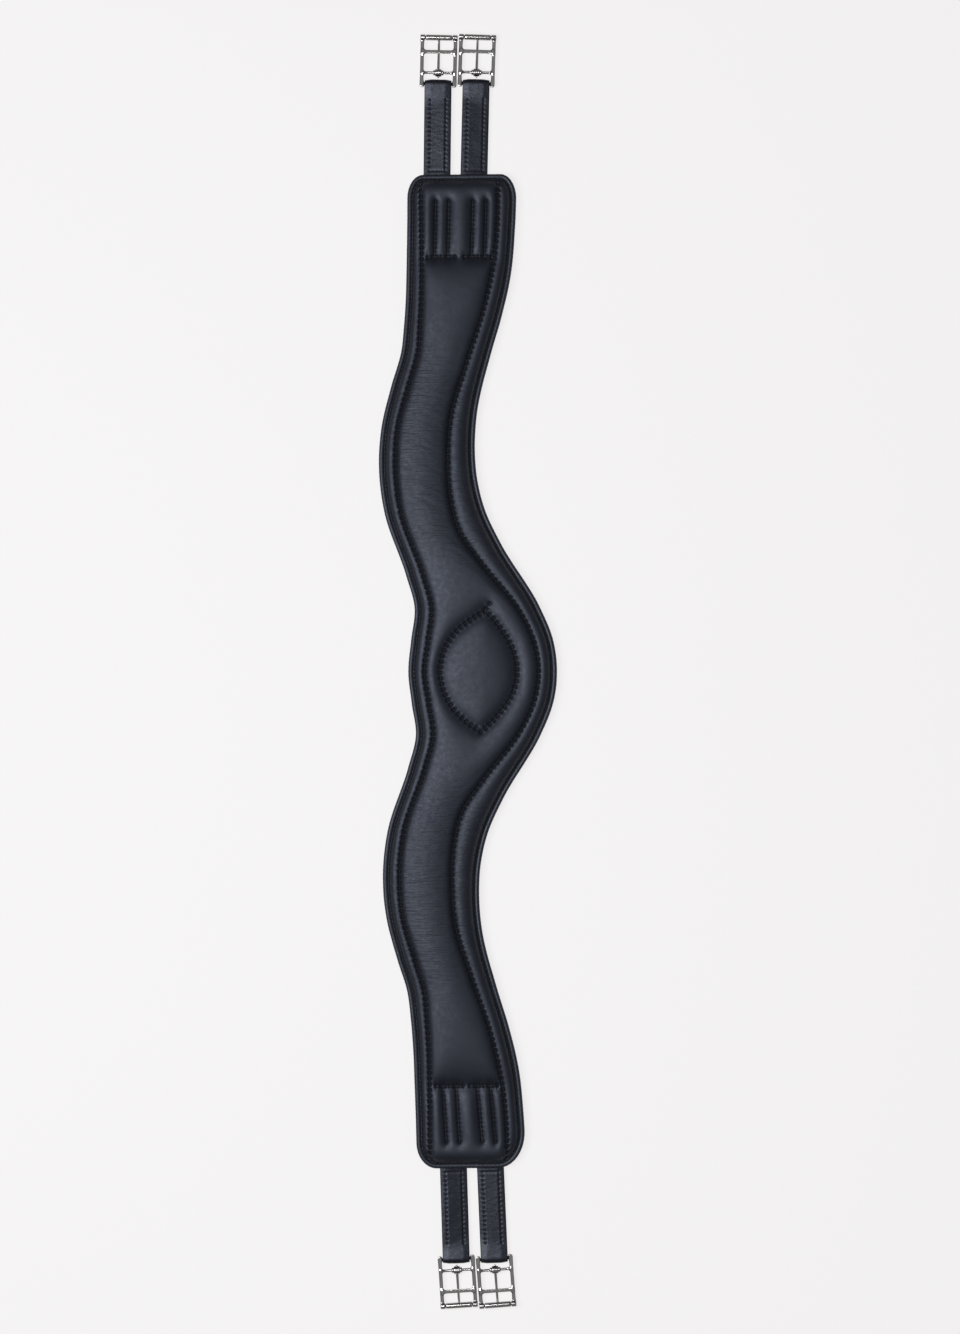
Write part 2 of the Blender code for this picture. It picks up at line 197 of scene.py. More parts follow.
def lens_line(spacing):
    """The almond seam: two softened curves between pointed tips that lean apart."""
    tip = LENS_REAR[-1][0]
    y = tip * np.sin(np.linspace(-math.pi / 2, math.pi / 2, 240))
    curves = []
    for knots in (LENS_FRONT, LENS_REAR):
        x = np.interp(np.abs(y), *np.array(knots, float).T)
        x[8:-8] = rolling_mean(np.pad(x, 7, mode="edge"), 15)[8:-8]
        curves.append(np.stack([x, y], 1))
    route = np.concatenate([curves[0], curves[1][::-1]])
    route[:, 0] += LENS_SKEW * (route[:, 1] / tip) ** 3
    return resample(route, spacing, closed=True)


def box_lines():
    """Straight rows of stitches over the ends of the buckle straps: pairs of rows and a row across."""
    for end, sense in (("near", 1), ("off", -1)):
        rows = BOX_ROWS[end]
        for start, finish in rows:
            yield (start, sense * BOX_START), (finish, sense * BOX_END)
        for left, right in ((rows[0][0], rows[1][0]), (rows[2][0], rows[3][0])):
            middle, y = (left + right) / 2, sense * (BOX_START - 1)
            yield (middle - BOX_HALF_WIDTH, y), (middle + BOX_HALF_WIDTH, y)


class Seam:
    """A stitched line through the padding: how deep it pulls it in and how far the pull reaches."""

    def __init__(self, points, pitch, closed, depth=0.0, near=1.0, far=1.0, share=0.0, pucker=0.0, pit=0.0):
        self.stitches, self.pitch = resample(points, pitch, closed)
        fine, self.step = resample(points, SEAM_TRACE / 2, closed)
        self.closed = closed
        self.depth, self.near, self.far, self.share = depth, near, far, share
        self.pucker, self.pit = pucker, pit
        self.tree = KDTree(len(fine))
        for index, (x, y) in enumerate(fine):
            self.tree.insert((x, y, 0.0), index)
        self.tree.balance()

    def measure(self, spots):
        """Distance of each spot from the seam, and how far along the seam it is."""
        found = [self.tree.find((x, y, 0.0)) for x, y in spots]
        distance = np.array([item[2] for item in found])
        return distance, np.array([item[1] for item in found]) * self.step

    def pull(self, distance, along):
        """How far the seam pulls the padding in, how deep its puckers and pits are, and the pits alone, which
        become a mask of painted shade.
        """
        soft = np.hypot(distance, 0.5) - 0.5
        body = (1 - self.share) * np.exp(-soft / self.near) + self.share * np.exp(-soft / self.far)
        phase = along / self.pitch
        stitch = np.floor(phase + 0.5)
        uneven = 0.75 + 0.5 * np.abs(np.modf(np.sin(stitch * 12.9898 + self.depth) * 43758.5453)[0])
        ripple = np.cos(math.tau * phase) * np.exp(-soft / (0.55 * self.pitch))
        pit = bell(phase - stitch, 0.27) * bell(distance, 1.5)
        return self.depth * body, (self.pucker * ripple + self.pit * pit) * uneven, pit


def build_seams():
    """The edge seam, the two long ones, the almond with its overrun, then the rows of the boxes."""
    seams = [Seam(outline(EDGE_SEAM_INSET, SEAM_TRACE)[0], EDGE_PITCH, True, **EDGE_PULL)]
    seams += [Seam(seam_line(knots, SEAM_TRACE)[0], SEAM_PITCH, False, **LONG_PULL)
              for knots in (REAR_SEAM, FRONT_SEAM)]
    seams.append(Seam(lens_line(SEAM_TRACE)[0], SEAM_PITCH, True, **LENS_PULL))
    seams.append(Seam(LENS_OVERRUN, SEAM_PITCH, False, **OVERRUN_PULL))
    seams += [Seam(np.linspace(start, finish, 60), BOX_PITCH, False, **BOX_PULL)
              for start, finish in box_lines()]
    return seams


def value_noise(x, y, seed):
    """Smooth noise about zero at each spot."""
    return np.array([noise.noise(Vector((a, b, seed))) for a, b in zip(x, y)])


def padding_height(spots, seams, border):
    """The padding's upper face at each spot: its height, how close it is to a seam, how dark its stitch
    shadow is, the height of its fine folds, and how folded the leather is there."""
    pulls, ripples, crease, pit_shade = np.zeros((4, len(spots)))
    for seam in seams:
        distance, along = seam.measure(spots)
        body, ripple, pit = seam.pull(distance, along)
        pit_shade = np.maximum(pit_shade, pit)
        pulls += body ** PULL_BLEND
        ripples += ripple
        crease = np.maximum(crease, bell(distance, CREASE_WIDTH))
    x, y = spots.T
    height = CROWN - pulls ** (1 / PULL_BLEND)
    lull = 0.45 * value_noise(x / 46, y / 60, 3.0) + 0.16 * value_noise(x / 13, y / 15, 9.0)
    across = y + 0.25 * x + 6 * value_noise(x / 40, y / 40, 5.0)
    folds = value_noise(x / 24, across / 3.1, 1.0)
    reach = np.interp(np.abs(y), FOLD_ZONE, (0, 1, 1, 0)) * (1 - crease)
    folds = FOLD_HEIGHT * reach * folds + 0.05 * (1 - crease) * value_noise(x / 9, y / 7, 30.0)
    height += lull * (1 - crease)
    outside = border.measure(spots)[0]
    floor = RIM_HEIGHT - 0.6 + (FOAM_BOTTOM + 1.3 - RIM_HEIGHT) * ramp(outside, 5, 10)
    height = floor + 0.5 * np.logaddexp(0, (height - floor) / 0.5)
    ripples = np.clip(ripples, *RIPPLE_LIMITS)
    height -= ripples
    lip = EDGE_SEAM_INSET - BORDER_INSET
    rim = RIM_HEIGHT - 0.35 * (1 - ramp(outside, 0, lip)) - ripples
    blend = ramp(outside, lip, lip + 0.8)
    height = rim * (1 - blend) + np.maximum(height, RIM_HEIGHT - 1.2) * blend
    # The third value is painted shade: a fifth of it comes from closeness to a seam, the rest from the stitch
    # pits.
    return height, crease, 0.2 * crease + 0.8 * pit_shade, folds, reach


def packed(count, bias):
    """Fractions from 0 to 1, closer together at both ends."""
    u = np.linspace(0.0, 1.0, count + 1)
    return u - bias * np.sin(math.tau * u)


def padding_grid():
    """Rows and columns of spots over the padding, with columns that follow the seams."""
    y = end_packed(BODY_END - BORDER_INSET, 1.9)
    rear, front = body_limits(y, BORDER_INSET)
    rear_lip, front_lip = body_limits(y, EDGE_SEAM_INSET)
    rear_lip, front_lip = np.maximum(rear_lip, rear + 0.4), np.minimum(front_lip, front - 0.4)
    rear_seam = np.maximum(smooth(REAR_SEAM, np.abs(y)), rear_lip + 4)
    front_seam = np.minimum(smooth(FRONT_SEAM, np.abs(y)), front_lip - 4)
    bands = ((rear, rear_lip, 1), (rear_lip, rear_seam, 11), (rear_seam, front_seam, 64),
             (front_seam, front_lip, 13), (front_lip, front, 1))
    columns = [rear]
    for low, high, count in bands:
        for t in packed(count, 0.075)[1:]:
            columns.append(low + (high - low) * t)
    x = np.stack(columns, 1)
    return x, np.repeat(y[:, None], x.shape[1], 1)


def grid_faces(rows, columns, start=0, flip=False):
    """Quads of a grid whose points are numbered row by row, from the start."""
    a = (np.arange(rows - 1)[:, None] * columns + np.arange(columns - 1)[None]).ravel() + start
    quads = np.stack([a, a + 1, a + columns + 1, a + columns], 1)
    return (quads[:, ::-1] if flip else quads).tolist()


def ring_faces(rings, sides, closed):
    """Faces of a tube of rings of points: capped, or closed on itself from the last ring to the first."""
    faces = []
    for ring in range(rings if closed else rings - 1):
        here, there = ring * sides, (ring + 1) % rings * sides
        for c in range(sides):
            d = (c + 1) % sides
            faces.append([here + c, there + c, there + d, here + d])
    if not closed:
        last = rings * sides - 1
        faces += [list(range(sides)), list(range(last, last - sides, -1))]
    return faces


def rim_walk(rows, columns):
    """Row and column of each rim spot of a grid, counter-clockwise seen from above."""
    walk = [(0, c) for c in range(columns)] + [(r, columns - 1) for r in range(1, rows)]
    walk += [(rows - 1, c) for c in range(columns - 2, -1, -1)]
    return walk + [(r, 0) for r in range(rows - 2, 0, -1)]


def halved(near):
    """Faces of a grid whose marked quads are cut in four, and the corners each new point lies between."""
    columns = near.shape[1] + 1
    count = (near.shape[0] + 1) * columns
    middles, parents, faces = {}, [], []

    def middle(a, b):
        key = frozenset((a, b))
        if key not in middles:
            middles[key] = count + len(parents)
            parents.append((a, b, a, b))
        return middles[key]

    quads = [(r * columns + c, r * columns + c + 1, (r + 1) * columns + c + 1, (r + 1) * columns + c)
             for r in range(near.shape[0]) for c in range(near.shape[1])]
    for quad, marked in zip(quads, near.ravel()):
        if marked:
            sides = [middle(quad[k], quad[(k + 1) % 4]) for k in range(4)]
            center = count + len(parents)
            parents.append(quad)
            faces += [[quad[k], sides[k], center, sides[k - 1]] for k in range(4)]
    for quad, marked in zip(quads, near.ravel()):
        if not marked:
            loop = []
            for k in range(4):
                key = frozenset((quad[k], quad[(k + 1) % 4]))
                loop.append(quad[k])
                if key in middles:
                    loop.append(middles[key])
            faces.append(loop)
    return faces, np.array(parents)


def slab(top, bottom, extra=None, faces=None):
    """Closed mesh between two grids of points: the bottom grid holds every second row and column.

    The top may have extra points inside it, with faces of its own that use them.
    """
    rows, columns = top.shape[:2]
    low_rows, low_columns = bottom.shape[:2]
    extra = np.zeros((0, 3)) if extra is None else extra
    start = rows * columns + len(extra)
    faces = grid_faces(rows, columns) if faces is None else list(faces)
    faces += grid_faces(low_rows, low_columns, start, flip=True)
    walk = rim_walk(rows, columns)
    upper = [r * columns + c for r, c in walk]
    lower = [start + r // 2 * low_columns + c // 2 for r, c in walk]
    for i in range(0, len(walk), 2):
        j, k = i + 1, (i + 2) % len(walk)
        faces.append([lower[i], lower[k], upper[k], upper[j], upper[i]])
    return np.concatenate([top.reshape(-1, 3), extra, bottom.reshape(-1, 3)]), faces


def mesh_object(name, points, faces, material, matrix=Matrix()):
    """A smooth-shaded mesh object from points in millimetres, placed by a matrix in millimetres."""
    mesh = bpy.data.meshes.new(name)
    mesh.from_pydata((np.asarray(points, float) * MM).tolist(), [], faces)
    mesh.materials.append(material)
    mesh.shade_smooth()
    return place(name, mesh, matrix)


def place(name, mesh, matrix=Matrix()):
    """An object that shows the mesh, placed by a matrix in millimetres."""
    item = bpy.data.objects.new(name, mesh)
    bpy.context.scene.collection.objects.link(item)
    item.matrix_world = Matrix.Translation(matrix.translation * MM) @ matrix.to_3x3().to_4x4()
    return item


def belongs(item, body, slot, *nodes):
    """Ties a piece to the body it rides on and hides the CAD nodes that it stands in for. The slot is not
    used.
    """
    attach(item, body)
    if nodes:
        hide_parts(*nodes)


def paint_attribute(item, name, values):
    """Gives each point of a piece a value that its material reads."""
    layer = item.data.attributes.new(name, "FLOAT", "POINT")
    layer.data.foreach_set("value", np.asarray(values, np.float32))


def settle(x, y, z, crease):
    """How far each spot moves as the leather swells between its seams, by Cloth pinned along them."""
    cut = (slice(None, None, 2),) * 2
    coarse = np.stack([x[cut], y[cut], z[cut]], 2)
    rows, columns = coarse.shape[:2]
    sheet = mesh_object("padding_cloth", coarse.reshape(-1, 3), grid_faces(rows, columns),
                        bpy.data.materials.new("cloth_stand_in"))
    pins = np.clip(crease[cut] * 1.6, 0.0, 1.0)
    pins[[0, -1]] = 1.0
    pins[:, [0, -1]] = 1.0
    group = sheet.vertex_groups.new(name="seams")
    for index, weight in enumerate(pins.ravel()):
        group.add([index], float(weight), "REPLACE")
    cloth = sheet.modifiers.new("settle", "CLOTH")
    for key, value in CLOTH.items():
        setattr(cloth.settings, key, value)
    cloth.settings.effector_weights.gravity = 0.0
    scene = bpy.context.scene
    for step in range(1, CLOTH_FRAMES + 1):
        scene.frame_set(step)
    settled = sheet.evaluated_get(bpy.context.evaluated_depsgraph_get()).to_mesh()
    points = np.zeros(rows * columns * 3)
    settled.vertices.foreach_get("co", points)
    moved = points.reshape(rows, columns, 3) / MM - coarse
    scene.frame_set(1)
    bpy.data.objects.remove(sheet, do_unlink=True)
    length = np.linalg.norm(moved, axis=2, keepdims=True)
    moved *= SWELL_CAP * np.tanh(length / SWELL_CAP) / np.maximum(length, 1e-6)
    return spread(moved, x.shape)


def spread(values, shape):
    """Smoothly fills a full grid from the same grid's coarse rows and columns."""
    for axis in (0, 1):
        at = np.linspace(0, values.shape[axis] - 1, shape[axis])
        low = np.clip(np.floor(at).astype(int), 0, values.shape[axis] - 2)
        t = at - low
        before = np.take(values, np.maximum(low - 1, 0), axis)
        a, b = np.take(values, low, axis), np.take(values, low + 1, axis)
        after = np.take(values, np.minimum(low + 2, values.shape[axis] - 1), axis)
        t = t.reshape([-1 if i == axis else 1 for i in range(values.ndim)])
        values = a + 0.5 * t * (b - before + t * (2 * before - 5 * a + 4 * b - after
                                                  + t * (3 * (a - b) + after - before)))
    return values


def eased(height, crease):
    """How far each spot of a grid moves when sharp ridges away from the seams are smoothed."""
    soft = height.copy()
    weight = 0.5 * (1 - crease[1:-1, 1:-1])
    for _ in range(14):
        around = (soft[2:, 1:-1] + soft[:-2, 1:-1] + soft[1:-1, 2:] + soft[1:-1, :-2]) / 4
        soft[1:-1, 1:-1] += weight * (around - soft[1:-1, 1:-1])
    return soft - height


def build_padding(materials):
    """The soft leather over the foam, with finer faces beside its seams."""
    seams = build_seams()
    border = Seam(outline(BORDER_INSET, SEAM_TRACE)[0], EDGE_PITCH, True)
    x, y = padding_grid()
    spots = np.stack([x.ravel(), y.ravel()], 1)
    height, crease, painted_shade, folds, reach = padding_height(spots, seams, border)
    marks = crease.reshape(x.shape) > FINE_CREASE
    near = marks[1:, 1:] | marks[:-1, 1:] | marks[1:, :-1] | marks[:-1, :-1]
    near[[0, -1]] = False
    near[:, [0, -1]] = False
    faces, parents = halved(near)
    new_spots = spots[parents].mean(1)
    new_height, new_crease, new_painted_shade, new_folds, new_reach = padding_height(new_spots, seams, border)
    top = np.column_stack([spots, height + folds])
    extra = np.column_stack([new_spots, new_height + new_folds])
    moved = np.zeros((*x.shape, 3))
    moved = settle(*(value.reshape(x.shape) for value in (x, y, height, crease)))
    moved[..., 2] += eased(height.reshape(x.shape), crease.reshape(x.shape))
    moved = moved.reshape(-1, 3)
    top += moved * (1 - crease)[:, None]
    extra += moved[parents].mean(1) * (1 - new_crease)[:, None]
    top = top.reshape(*x.shape, 3)
    sunk = lowest(top[..., 2] - 0.9 * crease.reshape(x.shape), 2)
    below = top[::2, ::2].copy()
    below[..., 2] = np.maximum(sunk[::2, ::2] - LINING_THICK, PANEL_FACES[1] + 0.15)
    lining = mesh_object("padded_lining", *slab(top, below, extra, faces), materials["lining"])
    # The crease attribute holds painted shade for the seams' creases and stitch pits; the wrinkle attribute
    # only steers a bump.
    for name, values, new_values in (("crease", painted_shade, new_painted_shade), ("wrinkle", reach, new_reach)):
        under = values.reshape(x.shape)[::2, ::2].ravel()
        paint_attribute(lining, name, np.concatenate([values, new_values, under]))
    belongs(lining, "girth", "lining_leather", "lining_panel")
    build_foam(top, sunk, materials)
    return seams, border


def lowest(values, reach):
    """The lowest value within reach of each place in a grid."""
    for axis in (0, 1):
        values = np.min([np.roll(values, shift, axis) for shift in range(-reach, reach + 1)], axis=0)
    return values


def build_foam(top, sunk, materials):
    """The foam under the lining fills the space between its underside and the webbing."""
    low = lowest(sunk, 5)
    inner = (slice(12, -12, 6), slice(8, -8, 4))
    upper = top[inner].copy()
    upper[..., 2] = np.maximum(low[inner] - LINING_THICK - 0.35, PANEL_FACES[1] + 0.25)
    rows, columns = (n - (n + 1) % 2 for n in upper.shape[:2])
    upper = upper[:rows, :columns]
    floor = upper[::2, ::2].copy()
    floor[..., 2] = np.minimum(FOAM_BOTTOM, floor[..., 2] - 0.2)
    foam = mesh_object("foam_padding", *slab(upper, floor), materials["foam"])
    belongs(foam, "girth", "foam", "foam_core")


# One stitch of thread, from end to end: (share of half its length, radius share, height in radii).
THREAD_RINGS = ((-1.0, 0.35, -1.3), (-0.85, 0.8, -0.45), (-0.45, 1.0, 0.0), (0.0, 1.0, 0.15),
                (0.45, 1.0, 0.0), (0.85, 0.8, -0.45), (1.0, 0.35, -1.3))
THREAD_SIDES = 6
STITCH_LENGTH = 2.9
STITCH_RADIUS = 0.42
UP = np.array((0.0, 0.0, 1.0))


def threads(name, centers, tangents, normals, length, radius, slot, materials, matrix=Matrix()):
    """Every stitch of a seam, each a bowed length of thread whose ends dive into the leather.

    The normals point out of the leather: one for each stitch, or the same for all. The slot is not
    used; thread has no CAD node of its own.
    """
    count = len(centers)
    lean = RNG.uniform(-0.09, 0.09, (count, 1)) + 0.06
    tangents = tangents / np.linalg.norm(tangents, axis=1, keepdims=True)
    sides = np.cross(normals, tangents)
    tangents = tangents + sides * lean
    sides = np.cross(normals, tangents)
    half = length / 2 * RNG.uniform(0.93, 1.05, (count, 1))
    angles = math.tau * np.arange(THREAD_SIDES) / THREAD_SIDES
    rings = []
    for run, girth, rise in THREAD_RINGS:
        middle = centers + tangents * half * run + normals * rise * radius
        for angle in angles:
            rings.append(middle + radius * girth * (sides * math.cos(angle) + normals * math.sin(angle)))
    points = np.stack(rings, 1)
    pattern = ring_faces(len(THREAD_RINGS), THREAD_SIDES, closed=False)
    faces = [[v + points.shape[1] * i for v in face] for i in range(count) for face in pattern]
    item = mesh_object(name, points.reshape(-1, 3), faces, materials["thread"], matrix)
    belongs(item, "girth", slot)


def line_tangents(points, closed):
    """The direction of a line at each of its points, of any length."""
    if closed:
        return np.roll(points, -1, 0) - np.roll(points, 1, 0)
    return np.gradient(points, axis=0)


def stitch_padding(seams, border, materials):
    """Threads along every seam of the lining, at the bottom of its channel, in the order of build_seams."""
    names = ("edge_stitching", "rear_seam_stitching", "front_seam_stitching")
    groups = [([seam], name, 0.66 * seam.pitch) for seam, name in zip(seams, names)]
    groups.append((seams[3:5], "lens_stitching", 0.66 * SEAM_PITCH))
    groups.append((seams[5:], "box_stitching", STITCH_LENGTH))
    for members, name, length in groups:
        centers, tangents = [], []
        for seam in members:
            spots = seam.stitches if seam.closed or len(seam.stitches) < 5 else seam.stitches[:-1]
            height = padding_height(spots, seams, border)[0]
            line = np.column_stack([spots, height + 0.3])
            centers.append(line)
            tangents.append(line_tangents(line, seam.closed))
        threads(name, np.concatenate(centers), np.concatenate(tangents), UP, length, STITCH_RADIUS,
                "lining_leather", materials)


def sweep(path, up, sections, closed=False):
    """Skin a cross-section, one per path point, along the path: section x goes to the side, y along up."""
    path = np.asarray(path, float)
    tangents = line_tangents(path, closed)
    tangents /= np.linalg.norm(tangents, axis=1, keepdims=True)
    side = np.cross(tangents, up)
    side /= np.linalg.norm(side, axis=1, keepdims=True)
    sections = np.broadcast_to(sections, (len(path),) + np.shape(sections)[-2:])
    points = path[:, None] + side[:, None] * sections[..., :1] + np.asarray(up) * sections[..., 1:]
    return points.reshape(-1, 3), ring_faces(*points.shape[:2], closed)


def ellipse(wide, high, sides):
    angle = math.tau * np.arange(sides) / sides
    return np.stack([wide * np.cos(angle), high * np.sin(angle)], 1)


PIPING_WIDE = 2.45
PIPING_HIGH = 2.2
PIPING_JOINTS = ((4.0, 465.0), (2.0, -465.0))


def build_piping(materials):
    """The bead round the edge: slightly uneven between its stitches, with a lapped join at each end."""
    route, spacing = outline(PIPING_WIDE - 0.1, 1.0)
    along = np.arange(len(route)) * spacing
    girth = 1 + 0.018 * np.cos(math.tau * along / EDGE_PITCH)
    girth += 0.035 * value_noise(along / 17, along * 0, 2.0)
    for x, y in PIPING_JOINTS:
        past = along - along[np.argmin(np.hypot(route[:, 0] - x, route[:, 1] - y))]
        girth += np.where(past > 0, 0.10, 0.03) * bell(past, 6)
    path = np.column_stack([route, np.full(len(route), PIPING_HEIGHT)])
    section = ellipse(PIPING_WIDE, PIPING_HIGH, 16)
    bead = mesh_object("edge_bead", *sweep(path, (0, 0, 1), section * girth[:, None, None], closed=True),
                       materials["piping"])
    belongs(bead, "girth", "piping_leather", "edge_piping")


def banked(y, rear, front, end, offsets, inner):
    """A grid between two long edges: x, y, and how far each spot is in from the nearest edge or end.

    Its columns are at the given distances in from each edge, and evenly spaced between.
    """
    offsets = np.array(offsets, float)
    reach = offsets[-1]
    middle = [rear + reach + (front - rear - 2 * reach) * t for t in np.linspace(0, 1, inner + 1)[1:-1]]
    x = np.stack([rear + o for o in offsets] + middle + [front - o for o in offsets[::-1]], 1)
    inside = np.minimum(np.minimum(x - rear[:, None], front[:, None] - x), (end - np.abs(y))[:, None])
    return x, np.repeat(y[:, None], x.shape[1], 1), inside


def rounded(inside, radius):
    """How far a face drops back near its edge, for an edge rounded to the radius."""
    t = np.clip(1 - inside / radius, 0, 1)
    return radius * (1 - np.sqrt(1 - t ** 2))


def underside(x, y, face, back):
    """A closed sheet whose detailed side looks down: face and back are its lower and upper heights."""
    lower = np.stack([x, y, face], 2)[:, ::-1]
    upper = np.stack([x, y, back], 2)[:, ::-1][::2, ::2]
    return slab(lower, upper)


def build_outer_panel(edge_seam, materials):
    """The plain outer leather: smooth, stitched all round just inside the bead."""
    y = end_packed(BODY_END - BORDER_INSET, 2.4)
    x, grid_y, inside = banked(y, *body_limits(y, BORDER_INSET), BODY_END - BORDER_INSET,
                               (0, 0.2, 0.5, 0.9, 1.35, 2.0), 46)
    spots = np.stack([x.ravel(), grid_y.ravel()], 1)
    distance, along = edge_seam.measure(spots)
    groove = 0.45 * bell(distance, 0.9) * (1 + 0.3 * np.cos(math.tau * along / edge_seam.pitch))
    wave = 0.10 + 0.10 * value_noise(spots[:, 0] / 35, spots[:, 1] / 35, 4.0)
    face = PANEL_FACES[0] + (groove + wave).reshape(x.shape)
    back = np.full(x.shape, PANEL_FACES[1])
    face = np.minimum(face + rounded(inside, 0.7), PANEL_FACES[1] - 0.4)
    panel = mesh_object("outer_leather", *underside(x, grid_y, face, back), materials["outer"])
    belongs(panel, "girth", "outer_leather", "outer_panel")
    spots = edge_seam.stitches
    centers = np.column_stack([spots, np.full(len(spots), PANEL_FACES[0] + 0.32)])
    threads("outer_edge_stitching", centers, line_tangents(centers, True), -UP, STITCH_LENGTH, 0.4,
            "outer_leather", materials)


BAND_HALF_WIDTH = ((0, 23), (340, 23), (392, 37), (452, 37))
BAND_END = 452.0
BAND_STEP = (348.0, 386.0)
BAND_LIFT = 4.9
BAND_THICK = 2.0
BAND_STITCH_INSET = 4.0


def band_limits(y, inset):
    """X of the reinforcing band's edges at y: it follows the middle of the body."""
    rear, front = body_limits(y, 0.0)
    half = smooth(BAND_HALF_WIDTH, np.abs(y)) - inset
    return (rear + front) / 2 - half, (rear + front) / 2 + half


def band_bottom(y):
    """Height of the band's lower face, which steps down near its ends to pass under the straps."""
    return BAND_LIFT * (1 - ease(ramp(np.abs(y), *BAND_STEP)))


def build_band(materials):
    """The reinforcing band down the outer face, with creased and stitched edges."""
    tail = np.array((0, 0.2, 0.5, 1.0, 1.8, 2.4, 3.2, 4.0, 4.8))
    middle = np.linspace(-(BAND_END - 5.5), BAND_END - 5.5, 4 * 102 + 1)
    y = np.concatenate([-BAND_END + tail, middle, BAND_END - tail[::-1]])
    x, grid_y, inside = banked(y, *band_limits(y, 0.0), BAND_END,
                               (0, 0.2, 0.5, 1.0, 1.7, 2.1, 2.5, 3.1, 3.6, 4.0, 4.4, 5.0), 20)
    crease = 0.22 * bell(inside - 2.1, 0.32)
    run = np.cos(math.tau * grid_y / EDGE_PITCH)
    channel = 0.34 * bell(inside - BAND_STITCH_INSET, 0.6) * (1 + 0.3 * run)
    face = band_bottom(grid_y) + rounded(inside, 0.9) + crease + channel
    back = band_bottom(grid_y) + BAND_THICK - rounded(inside, 0.5)
    band = mesh_object("reinforcing_band", *underside(x, grid_y, face, back), materials["outer"])
    belongs(band, "girth", "outer_leather", "outer_reinforcing_band")
    rows = np.arange(-BAND_END + 6, BAND_END - 5.9, EDGE_PITCH)
    lines = []
    for column in (0, 1):
        x_line = band_limits(rows, BAND_STITCH_INSET)[column]
        lines.append(np.column_stack([x_line, rows, band_bottom(rows) + 0.2]))
    for sense in (-1, 1):
        left, right = band_limits(np.array([sense * (BAND_END - BAND_STITCH_INSET)]), BAND_STITCH_INSET)
        across = np.arange(left[0] + 3, right[0] - 2, EDGE_PITCH)
        row = np.full(len(across), sense * (BAND_END - BAND_STITCH_INSET))
        lines.append(np.column_stack([across, row, np.full(len(across), 0.2)]))
    tangents = np.concatenate([line_tangents(line, False) for line in lines])
    threads("band_stitching", np.concatenate(lines), tangents, -UP, STITCH_LENGTH, STITCH_RADIUS,
            "outer_leather", materials)


# Buckle straps and buckles, as the CAD places them.
STRAP_HALF = 12.7
STRAP_LEATHER = 2.2
STRAP_HEIGHT = 4.6
STRAP_START = 389.0
STRAP_ROOT = 475.0
BAR_DISTANCE = 553.1
STRAP_BORE = 2.2
FOLD_SLOPE = math.radians(9.0)
STRAP_PAIRS = {"near": -8.0, "off": -1.5}
STRAPS = {"rear": (-17.45, 1.2), "front": (17.45, 1.9)}
BUCKLE_YAW = {"near": 0.6, "off": 1.9}
STRAP_SPACING = 0.8
STRAP_STITCH = (3.0, 0.4)

# How a folded strip is sewn: how much its face is crowned, how far in from its edges the rows of stitches
# run, from where to where along it, their pitch, and how far the strip leans to one side.
Sewing = collections.namedtuple("Sewing", "crown inset span pitch lean")
STRAP_SEWING = Sewing(0.8, 5.1, (-82.0, -14.8), 4.2, 0.0)
STRAP_LEAN = {"near_rear": -0.6, "near_front": 0.7, "off_rear": -0.9, "off_front": 0.2}


def buckle_matrix(end, side, yaw=0.0):
    """Where the base bar of a buckle is: y points out along its strap, or turned from it by the yaw."""
    offset, splay = STRAPS[side]
    turn = math.radians(-splay - yaw if end == "near" else 180 + splay + yaw)
    sense = 1 if end == "near" else -1
    root = Vector((STRAP_PAIRS[end] + offset, sense * STRAP_ROOT, STRAP_HEIGHT))
    run = BAR_DISTANCE - STRAP_ROOT
    bar = root + Vector((run * math.tan(math.radians(splay)), sense * run, 0))
    return Matrix.Translation(bar) @ Matrix.Rotation(turn, 4, "Z")


def folded_path(length, bore, leather, spacing):
    """Middle of a strip of leather folded round a bore, as (out, up): out below the fold and back above."""
    radius = bore + leather / 2
    turn = math.pi / 2 + FOLD_SLOPE
    arc = [(radius * math.cos(a), radius * math.sin(a)) for a in np.linspace(-turn, turn, 50)]
    neck = arc[0][0] - (radius * math.cos(FOLD_SLOPE) - leather / 2) / math.tan(FOLD_SLOPE)
    run = [(-length, -leather / 2), (neck, -leather / 2)]
    back = [(neck, leather / 2), (-length, leather / 2)]
    route = resample(run + arc + back, spacing)[0]
    window = 2 * round(1.5 / spacing) + 1
    for column in (0, 1):
        route[window // 2:-(window // 2), column] = rolling_mean(route[:, column], window)
    window = 2 * round(5 / spacing) + 1
    broad = np.stack([np.convolve(column, np.ones(window) / window, mode="same") for column in route.T], 1)
    share = ramp(-route[:, :1], 7, 11) * ramp(route[:, :1] + length, 6, 8)
    return route * (1 - share) + broad * share


def face_profile(across, out, half, leather, sewing):
    """Outer face of a strip above its middle, crowned and channelled for its stitches, and a mask of painted
    shade at their pits.
    """
    inside = half - np.abs(across)
    height = leather / 2 - sewing.crown * ease(ramp(-inside, -half * 0.52, 0)) - rounded(inside, 0.75)
    height = height - sewing.lean * np.sin(across / half * 1.5) * ramp(-out, 8, 22)
    start, finish = sewing.span
    within = ramp(out, start - 1.5, start - 0.5) * ramp(-out, -finish - 1.5, -finish - 0.5)
    swing = np.cos(math.tau * (out - start) / sewing.pitch)
    rows = bell(inside - sewing.inset, 0.95) * within
    # A mask of painted shade at the stitch pits and the row across; it does not shape the face.
    pit_shade = rows * np.clip(0.35 + 0.65 * swing, 0, 1)
    rows = rows * (1 + 0.6 * swing)
    cross = bell(out - start, 0.8) * ramp(inside, sewing.inset - 1, sewing.inset)
    lip = 0.5 * within * bell(inside - sewing.inset - 1.6, 0.8)
    return height - 0.5 * np.maximum(rows, cross) + 0.16 * lip, np.maximum(pit_shade, 0.5 * cross)


